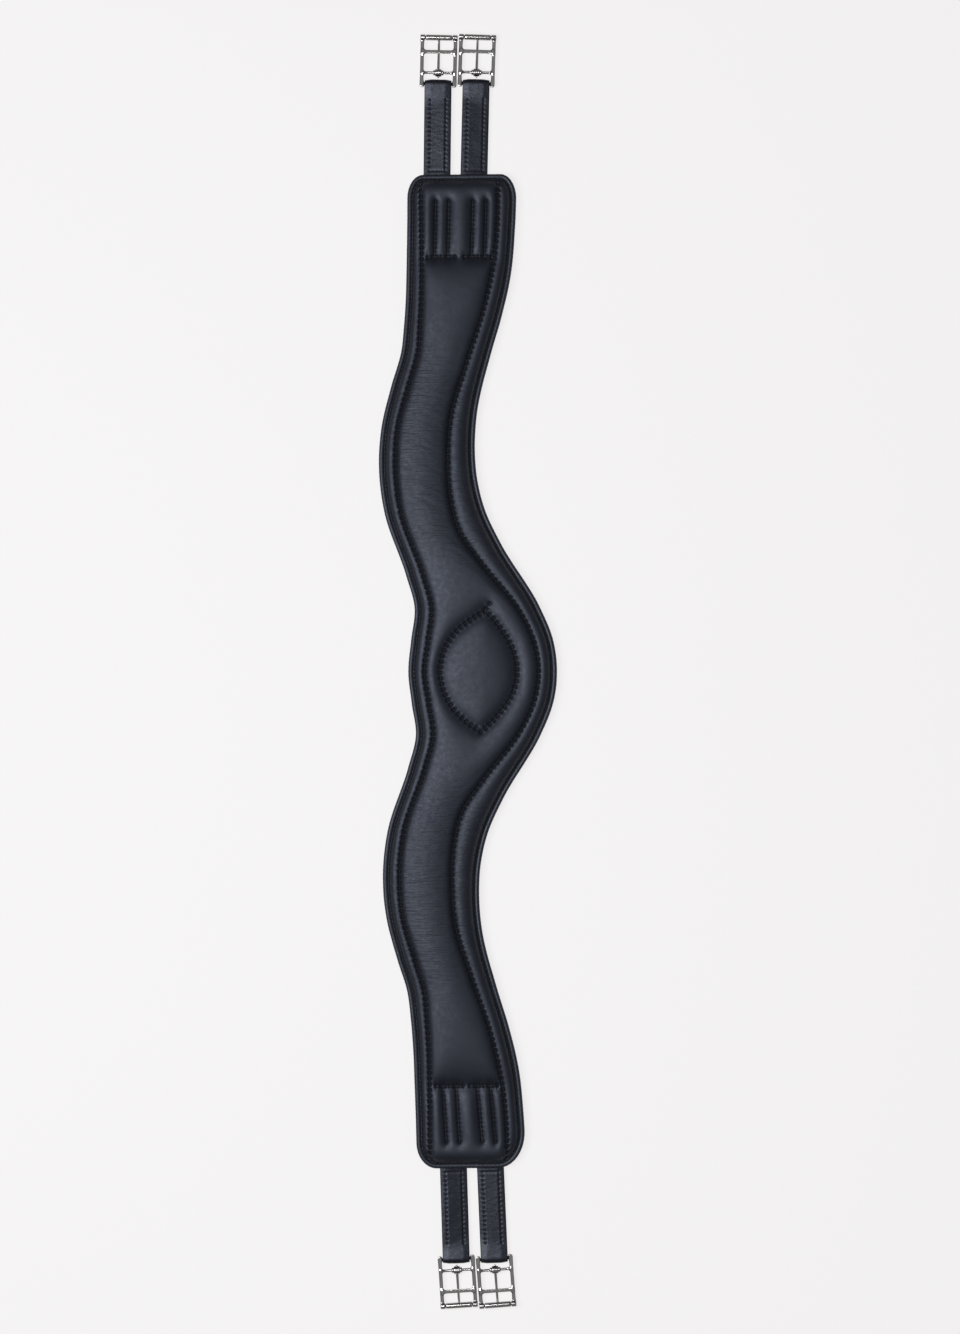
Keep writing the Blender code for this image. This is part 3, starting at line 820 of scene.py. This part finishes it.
def wrinkles(across, along, half, seed):
    """Fine wrinkles over a strip of leather, mostly across it, and none at its edges."""
    x, y = (grid.ravel() for grid in np.meshgrid(across, along))
    fine = 0.09 * value_noise(x / 6.0, y / 2.2, seed) + 0.07 * value_noise(x / 3.0, y / 3.4, seed + 20)
    broad = 0.22 * value_noise(x / 14.0, y / 17.0, seed + 40)
    return (fine + broad).reshape(len(along), len(across)) * ramp(half - np.abs(across), 0, 1.5)


def folded_strip(name, half, leather, length, bore, sewing, spacing, material, matrix):
    """A strip of leather folded round a bore, with columns of points that follow its rows of stitches."""
    route = folded_path(length, bore, leather, spacing)
    offsets = np.array((0, 0.12, 0.4, 0.9, 1.6, 2.3))
    near_row = sewing.inset + np.array((-1.1, -0.6, -0.2, 0.2, 0.6, 1.1, 1.9, 2.9))
    offsets = np.concatenate([offsets[offsets < near_row[0] - 0.3], near_row])
    across = np.concatenate([-half + offsets, np.linspace(-half + offsets[-1], half - offsets[-1], 7)[1:-1],
                             half - offsets[::-1]])
    back = half - np.array((0, 0.15, 0.5, 4.0))
    back = np.concatenate([back, -back[::-1]])
    outer, pit_shade = face_profile(across[None], route[:, :1], half, leather, sewing)
    outer = outer + wrinkles(across, np.arange(len(route)) * spacing, half, len(name))
    inner = -leather / 2 + 0.04 + rounded(half - np.abs(back), 0.4)
    inner = np.broadcast_to(inner, (len(route), len(back)))
    sections = np.concatenate([np.stack([outer, np.broadcast_to(across, outer.shape)], 2),
                               np.stack([inner, np.broadcast_to(back, inner.shape)], 2)], 1)
    path = np.column_stack([np.zeros(len(route)), route])
    strap = mesh_object(name, *sweep(path, (1, 0, 0), sections), material, matrix)
    # The crease attribute holds painted shade for the stitch pits; the back of the strip gets none.
    paint_attribute(strap, "crease", np.concatenate([pit_shade, np.zeros(inner.shape)], 1).ravel())
    return strap


def strip_threads(name, half, leather, sewing, materials, matrix):
    """The stitches of a folded strip on both its faces: two rows along it and one across its end."""
    start, finish = sewing.span
    rows = np.arange(start + sewing.pitch, finish + 0.1, sewing.pitch)
    reach = half - sewing.inset
    cross = np.linspace(-reach, reach, round(2 * reach / sewing.pitch) + 1)
    spots = [(side * reach, out, 0.0, 1.0) for side in (-1, 1) for out in rows]
    spots += [(x, start, 1.0, 0.0) for x in cross]
    spots = np.array(spots)
    height = face_profile(spots[:, 0], spots[:, 1], half, leather, sewing)[0]
    top = np.column_stack([spots[:, :2], leather / 2 + height + 0.16])
    tangents = np.column_stack([spots[:, 2:], np.zeros(len(spots))])
    up = np.tile(UP, (len(spots), 1))
    threads(name, np.concatenate([top, top * (1.0, 1.0, -1.0)]), np.concatenate([tangents, tangents]),
            np.concatenate([up, -up]), *STRAP_STITCH, "strap_leather", materials, matrix)


def build_straps(materials):
    """The four buckle straps and their threads."""
    shape = (STRAP_HALF, STRAP_LEATHER)
    for end, side in itertools.product(STRAP_PAIRS, STRAPS):
        matrix = buckle_matrix(end, side)
        tail = f"{end}_{side}"
        sewing = STRAP_SEWING._replace(lean=STRAP_LEAN[tail])
        strap = folded_strip(f"strap_{tail}", *shape, BAR_DISTANCE - STRAP_START, STRAP_BORE, sewing,
                             STRAP_SPACING, materials["strap"], matrix)
        belongs(strap, "girth", "strap_leather", f"buckle_strap_{tail}")
        strip_threads(f"strap_stitching_{tail}", *shape, sewing, materials, matrix)


RING_BAR = Vector((48.0, 0, 3.4))
RING_WIRE = 1.5
RING_HALF_WIDTH = 15.0
RING_BAR_HALF = 12.5
RING_REACH = 24.0
RING_DROOP = math.radians(3.9)
CHAPE_SHAPE = (11.0, 1.2)
CHAPE_LENGTH = 40.0
CHAPE_SEWING = Sewing(0.25, 2.6, (-36.0, -9.0), 3.0, 0.0)


def build_ring(materials):
    """The D-ring under the middle of the girth, and the chape folded round its bar."""
    matrix = Matrix.Translation(RING_BAR) @ Matrix.Rotation(-math.pi / 2, 4, "Z")
    chape = folded_strip("ring_loop", *CHAPE_SHAPE, CHAPE_LENGTH, RING_WIRE + 0.3, CHAPE_SEWING, 0.5,
                         materials["outer"], matrix)
    belongs(chape, "girth", "strap_leather", "ring_chape")
    strip_threads("ring_loop_stitching", *CHAPE_SHAPE, CHAPE_SEWING, materials, matrix)
    angles = [math.radians(12 + 156 * i / 28) for i in range(29)]
    bow = [(RING_REACH * math.sin(a), RING_HALF_WIDTH * math.cos(a), 0.0) for a in angles]
    route = [(0.0, RING_BAR_HALF, 0.0)] + bow + [(0.0, -RING_BAR_HALF, 0.0)]
    route = resample(route, 0.7, closed=True)[0]
    route = np.column_stack([route[:, :2], np.zeros(len(route))])
    route = sum(np.roll(route, shift, 0) for shift in range(-2, 3)) / 5
    ring = mesh_object("d_ring", *sweep(route, (0, 0, 1), ellipse(RING_WIRE, RING_WIRE, 20), closed=True),
                       materials["steel"], Matrix.Translation(RING_BAR) @ Matrix.Rotation(RING_DROOP, 4, "Y"))
    belongs(ring, "ring", "polished_steel", "girth_ring")


def soft_least(a, b, reach):
    """The smaller of two distances, joined by a fillet."""
    blend = np.maximum(reach - np.abs(a - b), 0.0)
    return np.minimum(a, b) - blend ** 2 / (4 * reach)


def rounded_box(offsets, radius):
    """Distance to a box, given how far a point is past each pair of faces, with rounded edges."""
    stacked = np.stack([offset + radius for offset in offsets], -1)
    outside = np.linalg.norm(np.maximum(stacked, 0.0), axis=-1)
    return outside + np.minimum(stacked.max(-1), 0.0) - radius


def cross_rod(p, center, radius, reach, rounding):
    """Distance to a round bar along x from the middle out to its reach on both sides."""
    radial = np.hypot(p[..., 1] - center[0], p[..., 2] - center[1]) - radius
    return rounded_box((radial, np.abs(p[..., 0]) - reach), rounding)


# Parts of a buckle, from the middle of its frame's base bar, with y toward the roller.
RAIL_SPREAD = 15.6
BAR_HALF = 15.5
FRAME_CELL = 0.42
TONGUE_CELL = 0.36
TONGUE_BAR = Vector((0, 10.5, 0.3))
ROLLER_AXIS = Vector((0, 43.4, 1.3))
ROLLER_RADIUS = 2.8
ROLLER_BORE = 1.55
ROLLER_HALF = 12.3
ROLLER_ROUNDING = 0.6
ROLLER_BAR_RADIUS = 1.3
LOOP_RADIUS = 3.7
LOOP_BORE = 1.6
LOOP_HALF = 3.0
TONGUE_RADIUS = 1.35
TONGUE_GAP = 0.15
TONGUE_TIP = 1.5
HEEL_REACH = 4.9


def frame_field(p):
    """Signed distance to the cast frame, as bars between two rails whose corners are rounded in plan."""
    x, y, z = np.abs(p[..., 0]), p[..., 1], p[..., 2]
    swell = ramp(-y, -11, -2) ** 2 + ramp(y, 36, 42) ** 2
    half = 1.78 + 0.34 * np.minimum(swell, 1)
    rail = rounded_box((np.abs(x - RAIL_SPREAD) - half, np.abs(y - 20.2) - 23.8, np.abs(z - 0.3) - 2.0), 1.0)
    plan = rounded_box((x - 17.7, np.abs(y - 21.6) - 25.2), 3.0)
    rail = -soft_least(-rail, -plan, 0.8)
    base = cross_rod(p, (0.0, 0.0), 1.5, BAR_HALF, 0.3)
    shape = soft_least(rail, base, 1.1)
    tongue_bar = cross_rod(p, (TONGUE_BAR.y, TONGUE_BAR.z), 1.3, BAR_HALF, 0.3)
    collar_radial = np.hypot(y - TONGUE_BAR.y, z - TONGUE_BAR.z) - 2.5
    collar = rounded_box((collar_radial, np.abs(x - 3.8) - 1.15), 0.7)
    shape = soft_least(shape, soft_least(tongue_bar, collar, 0.5), 2.6)
    crossbar = rounded_box((x - BAR_HALF, np.abs(y - 30.0) - 1.7, np.abs(z - 1.45) - 0.8), 0.55)
    shape = soft_least(shape, crossbar, 2.8)
    boss_radial = np.hypot(y - ROLLER_AXIS.y, z - ROLLER_AXIS.z) - 2.85
    boss = rounded_box((boss_radial, np.abs(x - 15.15) - 2.4), 0.7)
    shape = soft_least(shape, boss, 0.7)
    pin = cross_rod(p, (ROLLER_AXIS.y, ROLLER_AXIS.z), ROLLER_BAR_RADIUS, 15.0, 0.2)
    return np.minimum(shape, pin)


def tongue_rest():
    """From the tongue bar to where the tongue lies under the roller, and on to its tip."""
    drop = ROLLER_RADIUS + TONGUE_GAP + TONGUE_RADIUS
    contact = ROLLER_AXIS - TONGUE_BAR - Vector((0, 0, drop))
    return contact * (1 + (TONGUE_TIP - 1.1) / contact.length)


def tongue_field(p):
    """Signed distance to the tongue: a loop on its bar, a tapered pin and a short heel."""
    tip = np.array(tongue_rest())
    length = np.linalg.norm(tip)
    along = np.clip(p @ tip / length ** 2, 0.06, 1.0)
    pin = np.linalg.norm(p - along[..., None] * tip, axis=-1) - (TONGUE_RADIUS + 0.02 - 0.27 * along)
    radial = np.hypot(p[..., 1], p[..., 2])
    x = np.abs(p[..., 0])
    loop = rounded_box((radial - LOOP_RADIUS + 0.05, x - LOOP_HALF), 0.55)
    heel_run = np.clip(-p[..., 1], 2.4, HEEL_REACH - 0.9)
    heel = np.sqrt(x ** 2 + (p[..., 1] + heel_run) ** 2 + p[..., 2] ** 2) - (1.75 - 0.18 * heel_run)
    body = soft_least(soft_least(pin, loop, 0.5), heel, 0.5)
    return -soft_least(-body, radial - LOOP_BORE, 0.25)


def surface_net(field, low, high, cell):
    """Points and quads of a signed distance field's zero level, settled onto it."""
    counts = [math.ceil((b - a) / cell) + 1 for a, b in zip(low, high)]
    axes = [a + cell * np.arange(n) for a, n in zip(low, counts)]
    inside = field(np.stack(np.meshgrid(*axes, indexing="ij"), -1)) < 0
    corners = [inside[a:a + counts[0] - 1, b:b + counts[1] - 1, c:c + counts[2] - 1]
               for a, b, c in itertools.product((0, 1), repeat=3)]
    crossing = np.any(corners, 0) & ~np.all(corners, 0)
    numbers = np.full(crossing.shape, -1)
    numbers[crossing] = np.arange(np.count_nonzero(crossing))
    points = np.array(low) + (np.argwhere(crossing) + 0.5) * cell
    faces = []
    for axis, first, second in ((0, 1, 2), (1, 2, 0), (2, 0, 1)):
        here = np.take(inside, range(counts[axis] - 1), axis)
        there = np.take(inside, range(1, counts[axis]), axis)
        for leaving in (True, False):
            spots = np.argwhere((here != there) & (here == leaving))
            quad = []
            for a, b in ((0, 0), (-1, 0), (-1, -1), (0, -1)):
                shift = np.zeros(3, int)
                shift[first], shift[second] = a, b
                quad.append(numbers[tuple((spots + shift).T)])
            quad = np.stack(quad, 1)
            faces.append(quad if leaving else quad[:, ::-1])
    faces = np.concatenate(faces)
    for _ in range(4):
        total, count = np.zeros_like(points), np.zeros(len(points))
        for a, b in ((0, 1), (1, 2), (2, 3), (3, 0)):
            for start, finish in ((a, b), (b, a)):
                np.add.at(total, faces[:, start], points[faces[:, finish]])
                np.add.at(count, faces[:, start], 1)
        points = 0.5 * points + 0.5 * total / count[:, None]
        for _ in range(3):
            points = onto_surface(field, points)
    return points, faces.tolist()


def onto_surface(field, points):
    tiny = 1e-3
    value = field(points)
    slope = np.stack([(field(points + step) - value) / tiny for step in np.eye(3) * tiny], 1)
    return points - np.clip(value, -0.3, 0.3)[:, None] * slope / np.maximum((slope ** 2).sum(1), 0.2)[:, None]


def roller_points():
    """A thin tube along x with rounded ends and the fine closed joint of a rolled sheet."""
    end, lip = -ROLLER_HALF, 0.35
    profile = [(end + lip, ROLLER_BORE), (end, ROLLER_BORE + lip), (end, ROLLER_RADIUS - ROLLER_ROUNDING),
               (end + 0.18, ROLLER_RADIUS - 0.18), (end + ROLLER_ROUNDING, ROLLER_RADIUS)]
    mirrored = [(-x, r) for x, r in profile[::-1]]
    profile += [(x, ROLLER_RADIUS) for x in np.linspace(-10, 10, 9)] + mirrored
    profile += [(x, ROLLER_BORE) for x in (6.0, 0.0, -6.0)]
    joint = math.radians(-90)
    close = np.radians([0, 1.6, 3.2, 5.5])
    angles = np.concatenate([joint + close, np.linspace(joint + 0.2, joint + math.tau - 0.2, 34),
                             joint + math.tau - close[:0:-1]])
    points = []
    for angle in angles:
        near = abs((angle - joint + math.pi) % (math.tau) - math.pi)
        groove = 0.22 * math.exp(-(near / 0.035) ** 2)
        for x, r in profile:
            radius = r - groove if r > ROLLER_RADIUS - ROLLER_ROUNDING else r
            points.append((x, radius * math.cos(angle), radius * math.sin(angle)))
    return points, [face[:1] + face[:0:-1] for face in ring_faces(len(angles), len(profile), True)]


def build_buckles(materials):
    """Four frames, four rollers and four tongues: each kind is one mesh, placed four times."""
    shapes = {
        "frame": (surface_net(frame_field, (-18.6, -4.6, -2.8), (18.6, 47.4, 5.4), FRAME_CELL), Vector()),
        "roller": (roller_points(), ROLLER_AXIS),
        "tongue": (surface_net(tongue_field, (-3.4, -6.2, -6.4), (3.4, 36.8, 4.6), TONGUE_CELL), TONGUE_BAR),
    }
    for kind, ((points, faces), offset) in shapes.items():
        mesh = None
        for end, side in itertools.product(STRAP_PAIRS, STRAPS):
            matrix = buckle_matrix(end, side, BUCKLE_YAW[end]) @ Matrix.Translation(offset)
            name = f"{kind}_{end}_{side}"
            if mesh is None:
                item = mesh_object(name, points, faces, materials["steel"], matrix)
                mesh = item.data
            else:
                item = place(name, mesh, matrix)
            body = "buckle" if kind == "frame" else kind
            belongs(item, f"{body}_{end}_{side}", "polished_steel", f"buckle_{kind}_{end}_{side}")


class Nodes:
    """A material under construction: nodes are added by kind, and sockets take values or links."""

    def __init__(self, name):
        self.material = bpy.data.materials.new(name)
        self.material.use_nodes = True
        self.tree = self.material.node_tree
        self.shader = self.tree.nodes["Principled BSDF"]
        self.spot = self.add("ShaderNodeTexCoord", {}).outputs["Object"]

    def add(self, kind, inputs, **settings):
        node = self.tree.nodes.new(kind)
        for key, value in settings.items():
            setattr(node, key, value)
        self.fill(node, inputs)
        return node

    def fill(self, node, inputs):
        for key, value in inputs.items():
            if isinstance(value, bpy.types.NodeSocket):
                self.tree.links.new(value, node.inputs[key])
            else:
                node.inputs[key].default_value = value

    def noise(self, scale, detail=2.0, roughness=0.5, vector=None):
        inputs = {"Vector": vector or self.spot, "Scale": scale, "Detail": detail, "Roughness": roughness}
        return self.add("ShaderNodeTexNoise", inputs).outputs["Fac"]

    def stretched(self, scale, turn=0.0):
        inputs = {"Vector": self.spot, "Scale": scale, "Rotation": (0.0, 0.0, turn)}
        return self.add("ShaderNodeMapping", inputs).outputs["Vector"]

    def cells(self, scale, feature="DISTANCE_TO_EDGE"):
        inputs = {"Vector": self.spot, "Scale": scale}
        return self.add("ShaderNodeTexVoronoi", inputs, feature=feature).outputs["Distance"]

    def between(self, value, low, high, start=0.3, finish=0.7):
        inputs = {"Value": value, "From Min": start, "From Max": finish, "To Min": low, "To Max": high}
        return self.add("ShaderNodeMapRange", inputs).outputs["Result"]

    def math(self, operation, a, b):
        return self.add("ShaderNodeMath", {0: a, 1: b}, operation=operation).outputs[0]

    def colors(self, factor, stops):
        ramp = self.add("ShaderNodeValToRGB", {"Fac": factor})
        points = ramp.color_ramp.elements
        while len(points) < len(stops):
            points.new(0.5)
        for point, (position, color) in zip(points, stops):
            point.position = position
            point.color = (*color, 1.0)
        return ramp.outputs["Color"]

    def mix(self, factor, a, b):
        mixed = self.add("ShaderNodeMix", {0: factor}, data_type="RGBA")
        self.fill(mixed, {6: a, 7: b})
        return mixed.outputs[2]

    def bump(self, height, strength, distance, under=None):
        inputs = {"Height": height, "Strength": strength, "Distance": distance}
        if under is not None:
            inputs["Normal"] = under
        return self.add("ShaderNodeBump", inputs).outputs["Normal"]

    def finish(self, **sockets):
        self.fill(self.shader, {key.replace("_", " "): value for key, value in sockets.items()})
        return self.material


LEATHER_GLOSS = (0.765, 0.825, 1.0, 1.0)


def leather(name, dark, light, rough, grain, relief, crease_shaded=False, wrinkled=False, coat=0.0, sheen=0.0):
    """Dyed leather: pebbled grain, pores and a mottled dye; with crease shading on, its colour is darkened as
    painted shade in its creases and stitch pits, which are also made rougher.
    """
    n = Nodes(name)
    mottle = n.noise(34.0, 3.0)
    fine = n.noise(420.0, 2.0)
    color = n.colors(n.math("ADD", n.math("MULTIPLY", mottle, 0.7), n.math("MULTIPLY", fine, 0.3)),
                     ((0.32, dark), (0.68, light)))
    roughness = n.between(n.noise(260.0, 3.0), rough[0], rough[1])
    if crease_shaded:
        # Painted shade: the crease attribute darkens the colour towards near black in creases and stitch
        # pits; the added roughness there is real.
        crease = n.add("ShaderNodeAttribute", {}, attribute_name="crease").outputs["Fac"]
        color = n.mix(n.math("MULTIPLY", crease, 0.9), color, (0.002, 0.002, 0.005, 1.0))
        roughness = n.math("ADD", roughness, n.math("MULTIPLY", crease, 0.12))
    pebble = n.between(n.cells(grain), 0.0, 1.0, 0.0, 0.25)
    normal = n.bump(pebble, relief, 0.00012)
    normal = n.bump(n.noise(grain * 3.1, 3.0), relief * 0.6, 0.00006, normal)
    if wrinkled:
        amount = n.add("ShaderNodeAttribute", {}, attribute_name="wrinkle").outputs["Fac"]
        lines = n.noise(1.0, 3.0, 0.55, n.stretched((70.0, 480.0, 100.0), 0.12))
        normal = n.bump(n.math("MULTIPLY", lines, amount), 0.5, 0.0011, normal)
    return n.finish(Base_Color=color, Roughness=roughness, Normal=normal, Specular_Tint=LEATHER_GLOSS,
                    Coat_Weight=coat, Coat_Roughness=0.3, Sheen_Weight=sheen, Sheen_Roughness=0.45)


def thread_material():
    n = Nodes("waxed_thread")
    color = n.colors(n.noise(700.0, 2.0), ((0.3, (0.006, 0.006, 0.008)), (0.7, (0.018, 0.018, 0.022))))
    normal = n.bump(n.noise(4200.0, 2.0), 0.5, 0.00015)
    return n.finish(Base_Color=color, Roughness=n.between(n.noise(900.0), 0.6, 0.8), Normal=normal)


def steel_material():
    """Polished steel, with faint hairline scratches and small changes of gloss."""
    n = Nodes("polished_steel_finish")
    color = n.colors(n.noise(120.0, 3.0), ((0.3, (0.41, 0.404, 0.398)), (0.7, (0.5, 0.495, 0.49))))
    hair = n.noise(1.0, 3.0, 0.6, n.stretched((180.0, 5200.0, 900.0), 0.35))
    cross = n.noise(1.0, 3.0, 0.6, n.stretched((4300.0, 240.0, 900.0), -0.2))
    normal = n.bump(n.math("ADD", hair, cross), 0.05, 0.00006)
    roughness = n.between(n.noise(300.0, 4.0), 0.06, 0.15)
    return n.finish(Base_Color=color, Metallic=1.0, Roughness=roughness, Normal=normal)


def foam_material():
    n = Nodes("open_cell_foam")
    pores = n.cells(900.0, "F1")
    color = n.colors(pores, ((0.1, (0.30, 0.28, 0.24)), (0.7, (0.52, 0.50, 0.44))))
    return n.finish(Base_Color=color, Roughness=n.between(pores, 0.85, 0.98, 0.0, 0.6),
                    Normal=n.bump(pores, 0.6, 0.0004))


def webbing_material():
    """Plain-woven nylon: crossed ribs about 1.6 mm apart."""
    n = Nodes("woven_nylon")
    warp = n.add("ShaderNodeTexWave", {"Vector": n.spot, "Scale": 200.0, "Distortion": 0.4},
                 bands_direction="X").outputs["Fac"]
    weft = n.add("ShaderNodeTexWave", {"Vector": n.spot, "Scale": 200.0, "Distortion": 0.4},
                 bands_direction="Y").outputs["Fac"]
    weave = n.math("MULTIPLY", warp, weft)
    color = n.colors(weave, ((0.0, (0.012, 0.012, 0.012)), (1.0, (0.06, 0.06, 0.058))))
    return n.finish(Base_Color=color, Roughness=n.between(weave, 0.7, 0.9, 0.0, 1.0),
                    Normal=n.bump(weave, 0.7, 0.0004))


def make_materials():
    return {
        "lining": leather("padding_leather", (0.0055, 0.0068, 0.0112), (0.0095, 0.0115, 0.0175), (0.42, 0.53),
                          1250.0, 0.16, crease_shaded=True, wrinkled=True, sheen=0.06),
        "piping": leather("bead_leather", (0.011, 0.0125, 0.018), (0.018, 0.020, 0.027), (0.36, 0.48),
                          1500.0, 0.14),
        "outer": leather("panel_leather", (0.008, 0.0085, 0.010), (0.014, 0.015, 0.0175), (0.38, 0.50),
                         1000.0, 0.18),
        "strap": leather("bridle_leather", (0.003, 0.0033, 0.0065), (0.0095, 0.0103, 0.017), (0.31, 0.43),
                         1400.0, 0.22, crease_shaded=True, coat=0.04),
        "thread": thread_material(),
        "steel": steel_material(),
        "foam": foam_material(),
        "webbing": webbing_material(),
    }


FLOOR_HALF = 6000.0
FLOOR_GLOW = {"Emission_Color": (1.0, 0.982, 0.982, 1.0), "Emission_Strength": 0.79}
DOME_TONES = ((0.3, (0.05, 0.05, 0.053)), (0.98, (0.34, 0.34, 0.345)))
# Name, place, size, power and colour of each lamp. Both face the middle of the girth.
LAMPS = (("overhead", (-0.85, -0.05, 1.8), (1.1, 1.0), 25.0, (0.97, 0.985, 1.0)),
         ("accent", (-0.3, 0.22, 3.4), (0.45, 0.45), 11.0, (1.0, 0.99, 0.98)))
CAMERA_PLACE = (0.0104, 0.0039, 3.493)
CAMERA_TURN = math.radians(-0.55)


def build_floor():
    n = Nodes("studio_floor")
    tone = n.colors(n.noise(0.6, 1.0), ((0.3, (0.15, 0.15, 0.151)), (0.7, (0.155, 0.155, 0.156))))
    material = n.finish(Base_Color=tone, Roughness=0.9, Specular_IOR_Level=0.0, **FLOOR_GLOW)
    corners = [(FLOOR_HALF * x, FLOOR_HALF * y, 0) for x, y in ((-1, -1), (1, -1), (1, 1), (-1, 1))]
    mesh_object("studio_floor", corners, [[0, 1, 2, 3]], material)


def build_dome():
    """Soft light from all round, stronger from above."""
    world = bpy.data.worlds.new("studio_light")
    world.use_nodes = True
    nodes, links = world.node_tree.nodes, world.node_tree.links
    spot, split, tones = (nodes.new("ShaderNode" + kind) for kind in ("TexCoord", "SeparateXYZ", "ValToRGB"))
    links.new(spot.outputs["Generated"], split.inputs[0])
    links.new(split.outputs["Z"], tones.inputs["Fac"])
    for point, (position, color) in zip(tones.color_ramp.elements, DOME_TONES):
        point.position, point.color = position, (*color, 1.0)
    links.new(tones.outputs["Color"], nodes["Background"].inputs["Color"])
    nodes["Background"].inputs["Strength"].default_value = 1.0
    bpy.context.scene.world = world


def build_lamps():
    for name, spot, size, power, color in LAMPS:
        light = bpy.data.lights.new(name, "AREA")
        light.shape = "RECTANGLE"
        light.size, light.size_y = size
        light.energy, light.color = power, color
        item = bpy.data.objects.new(name, light)
        bpy.context.scene.collection.objects.link(item)
        item.location = spot
        item.rotation_euler = (-Vector(spot)).to_track_quat("-Z", "Y").to_euler()
        item.visible_camera = False


def build_camera():
    """The camera straight above the girth, with its long side along it."""
    lens = bpy.data.cameras.new("photo_view")
    lens.lens, lens.sensor_width, lens.clip_end = 100.0, 36.0, 20.0
    camera = bpy.data.objects.new("photo_view", lens)
    bpy.context.scene.collection.objects.link(camera)
    camera.location = CAMERA_PLACE
    camera.rotation_euler = (0.0, 0.0, CAMERA_TURN)
    bpy.context.scene.camera = camera


def main():
    materials = make_materials()
    seams, border = build_padding(materials)
    stitch_padding(seams, border, materials)
    build_piping(materials)
    build_outer_panel(seams[0], materials)
    build_band(materials)
    build_straps(materials)
    build_ring(materials)
    build_buckles(materials)
    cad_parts["core_webbing"].material_slots[0].material = materials["webbing"]
    bpy.context.scene.view_settings.view_transform = "Standard"
    build_floor()
    build_dome()
    build_lamps()
    build_camera()


main()
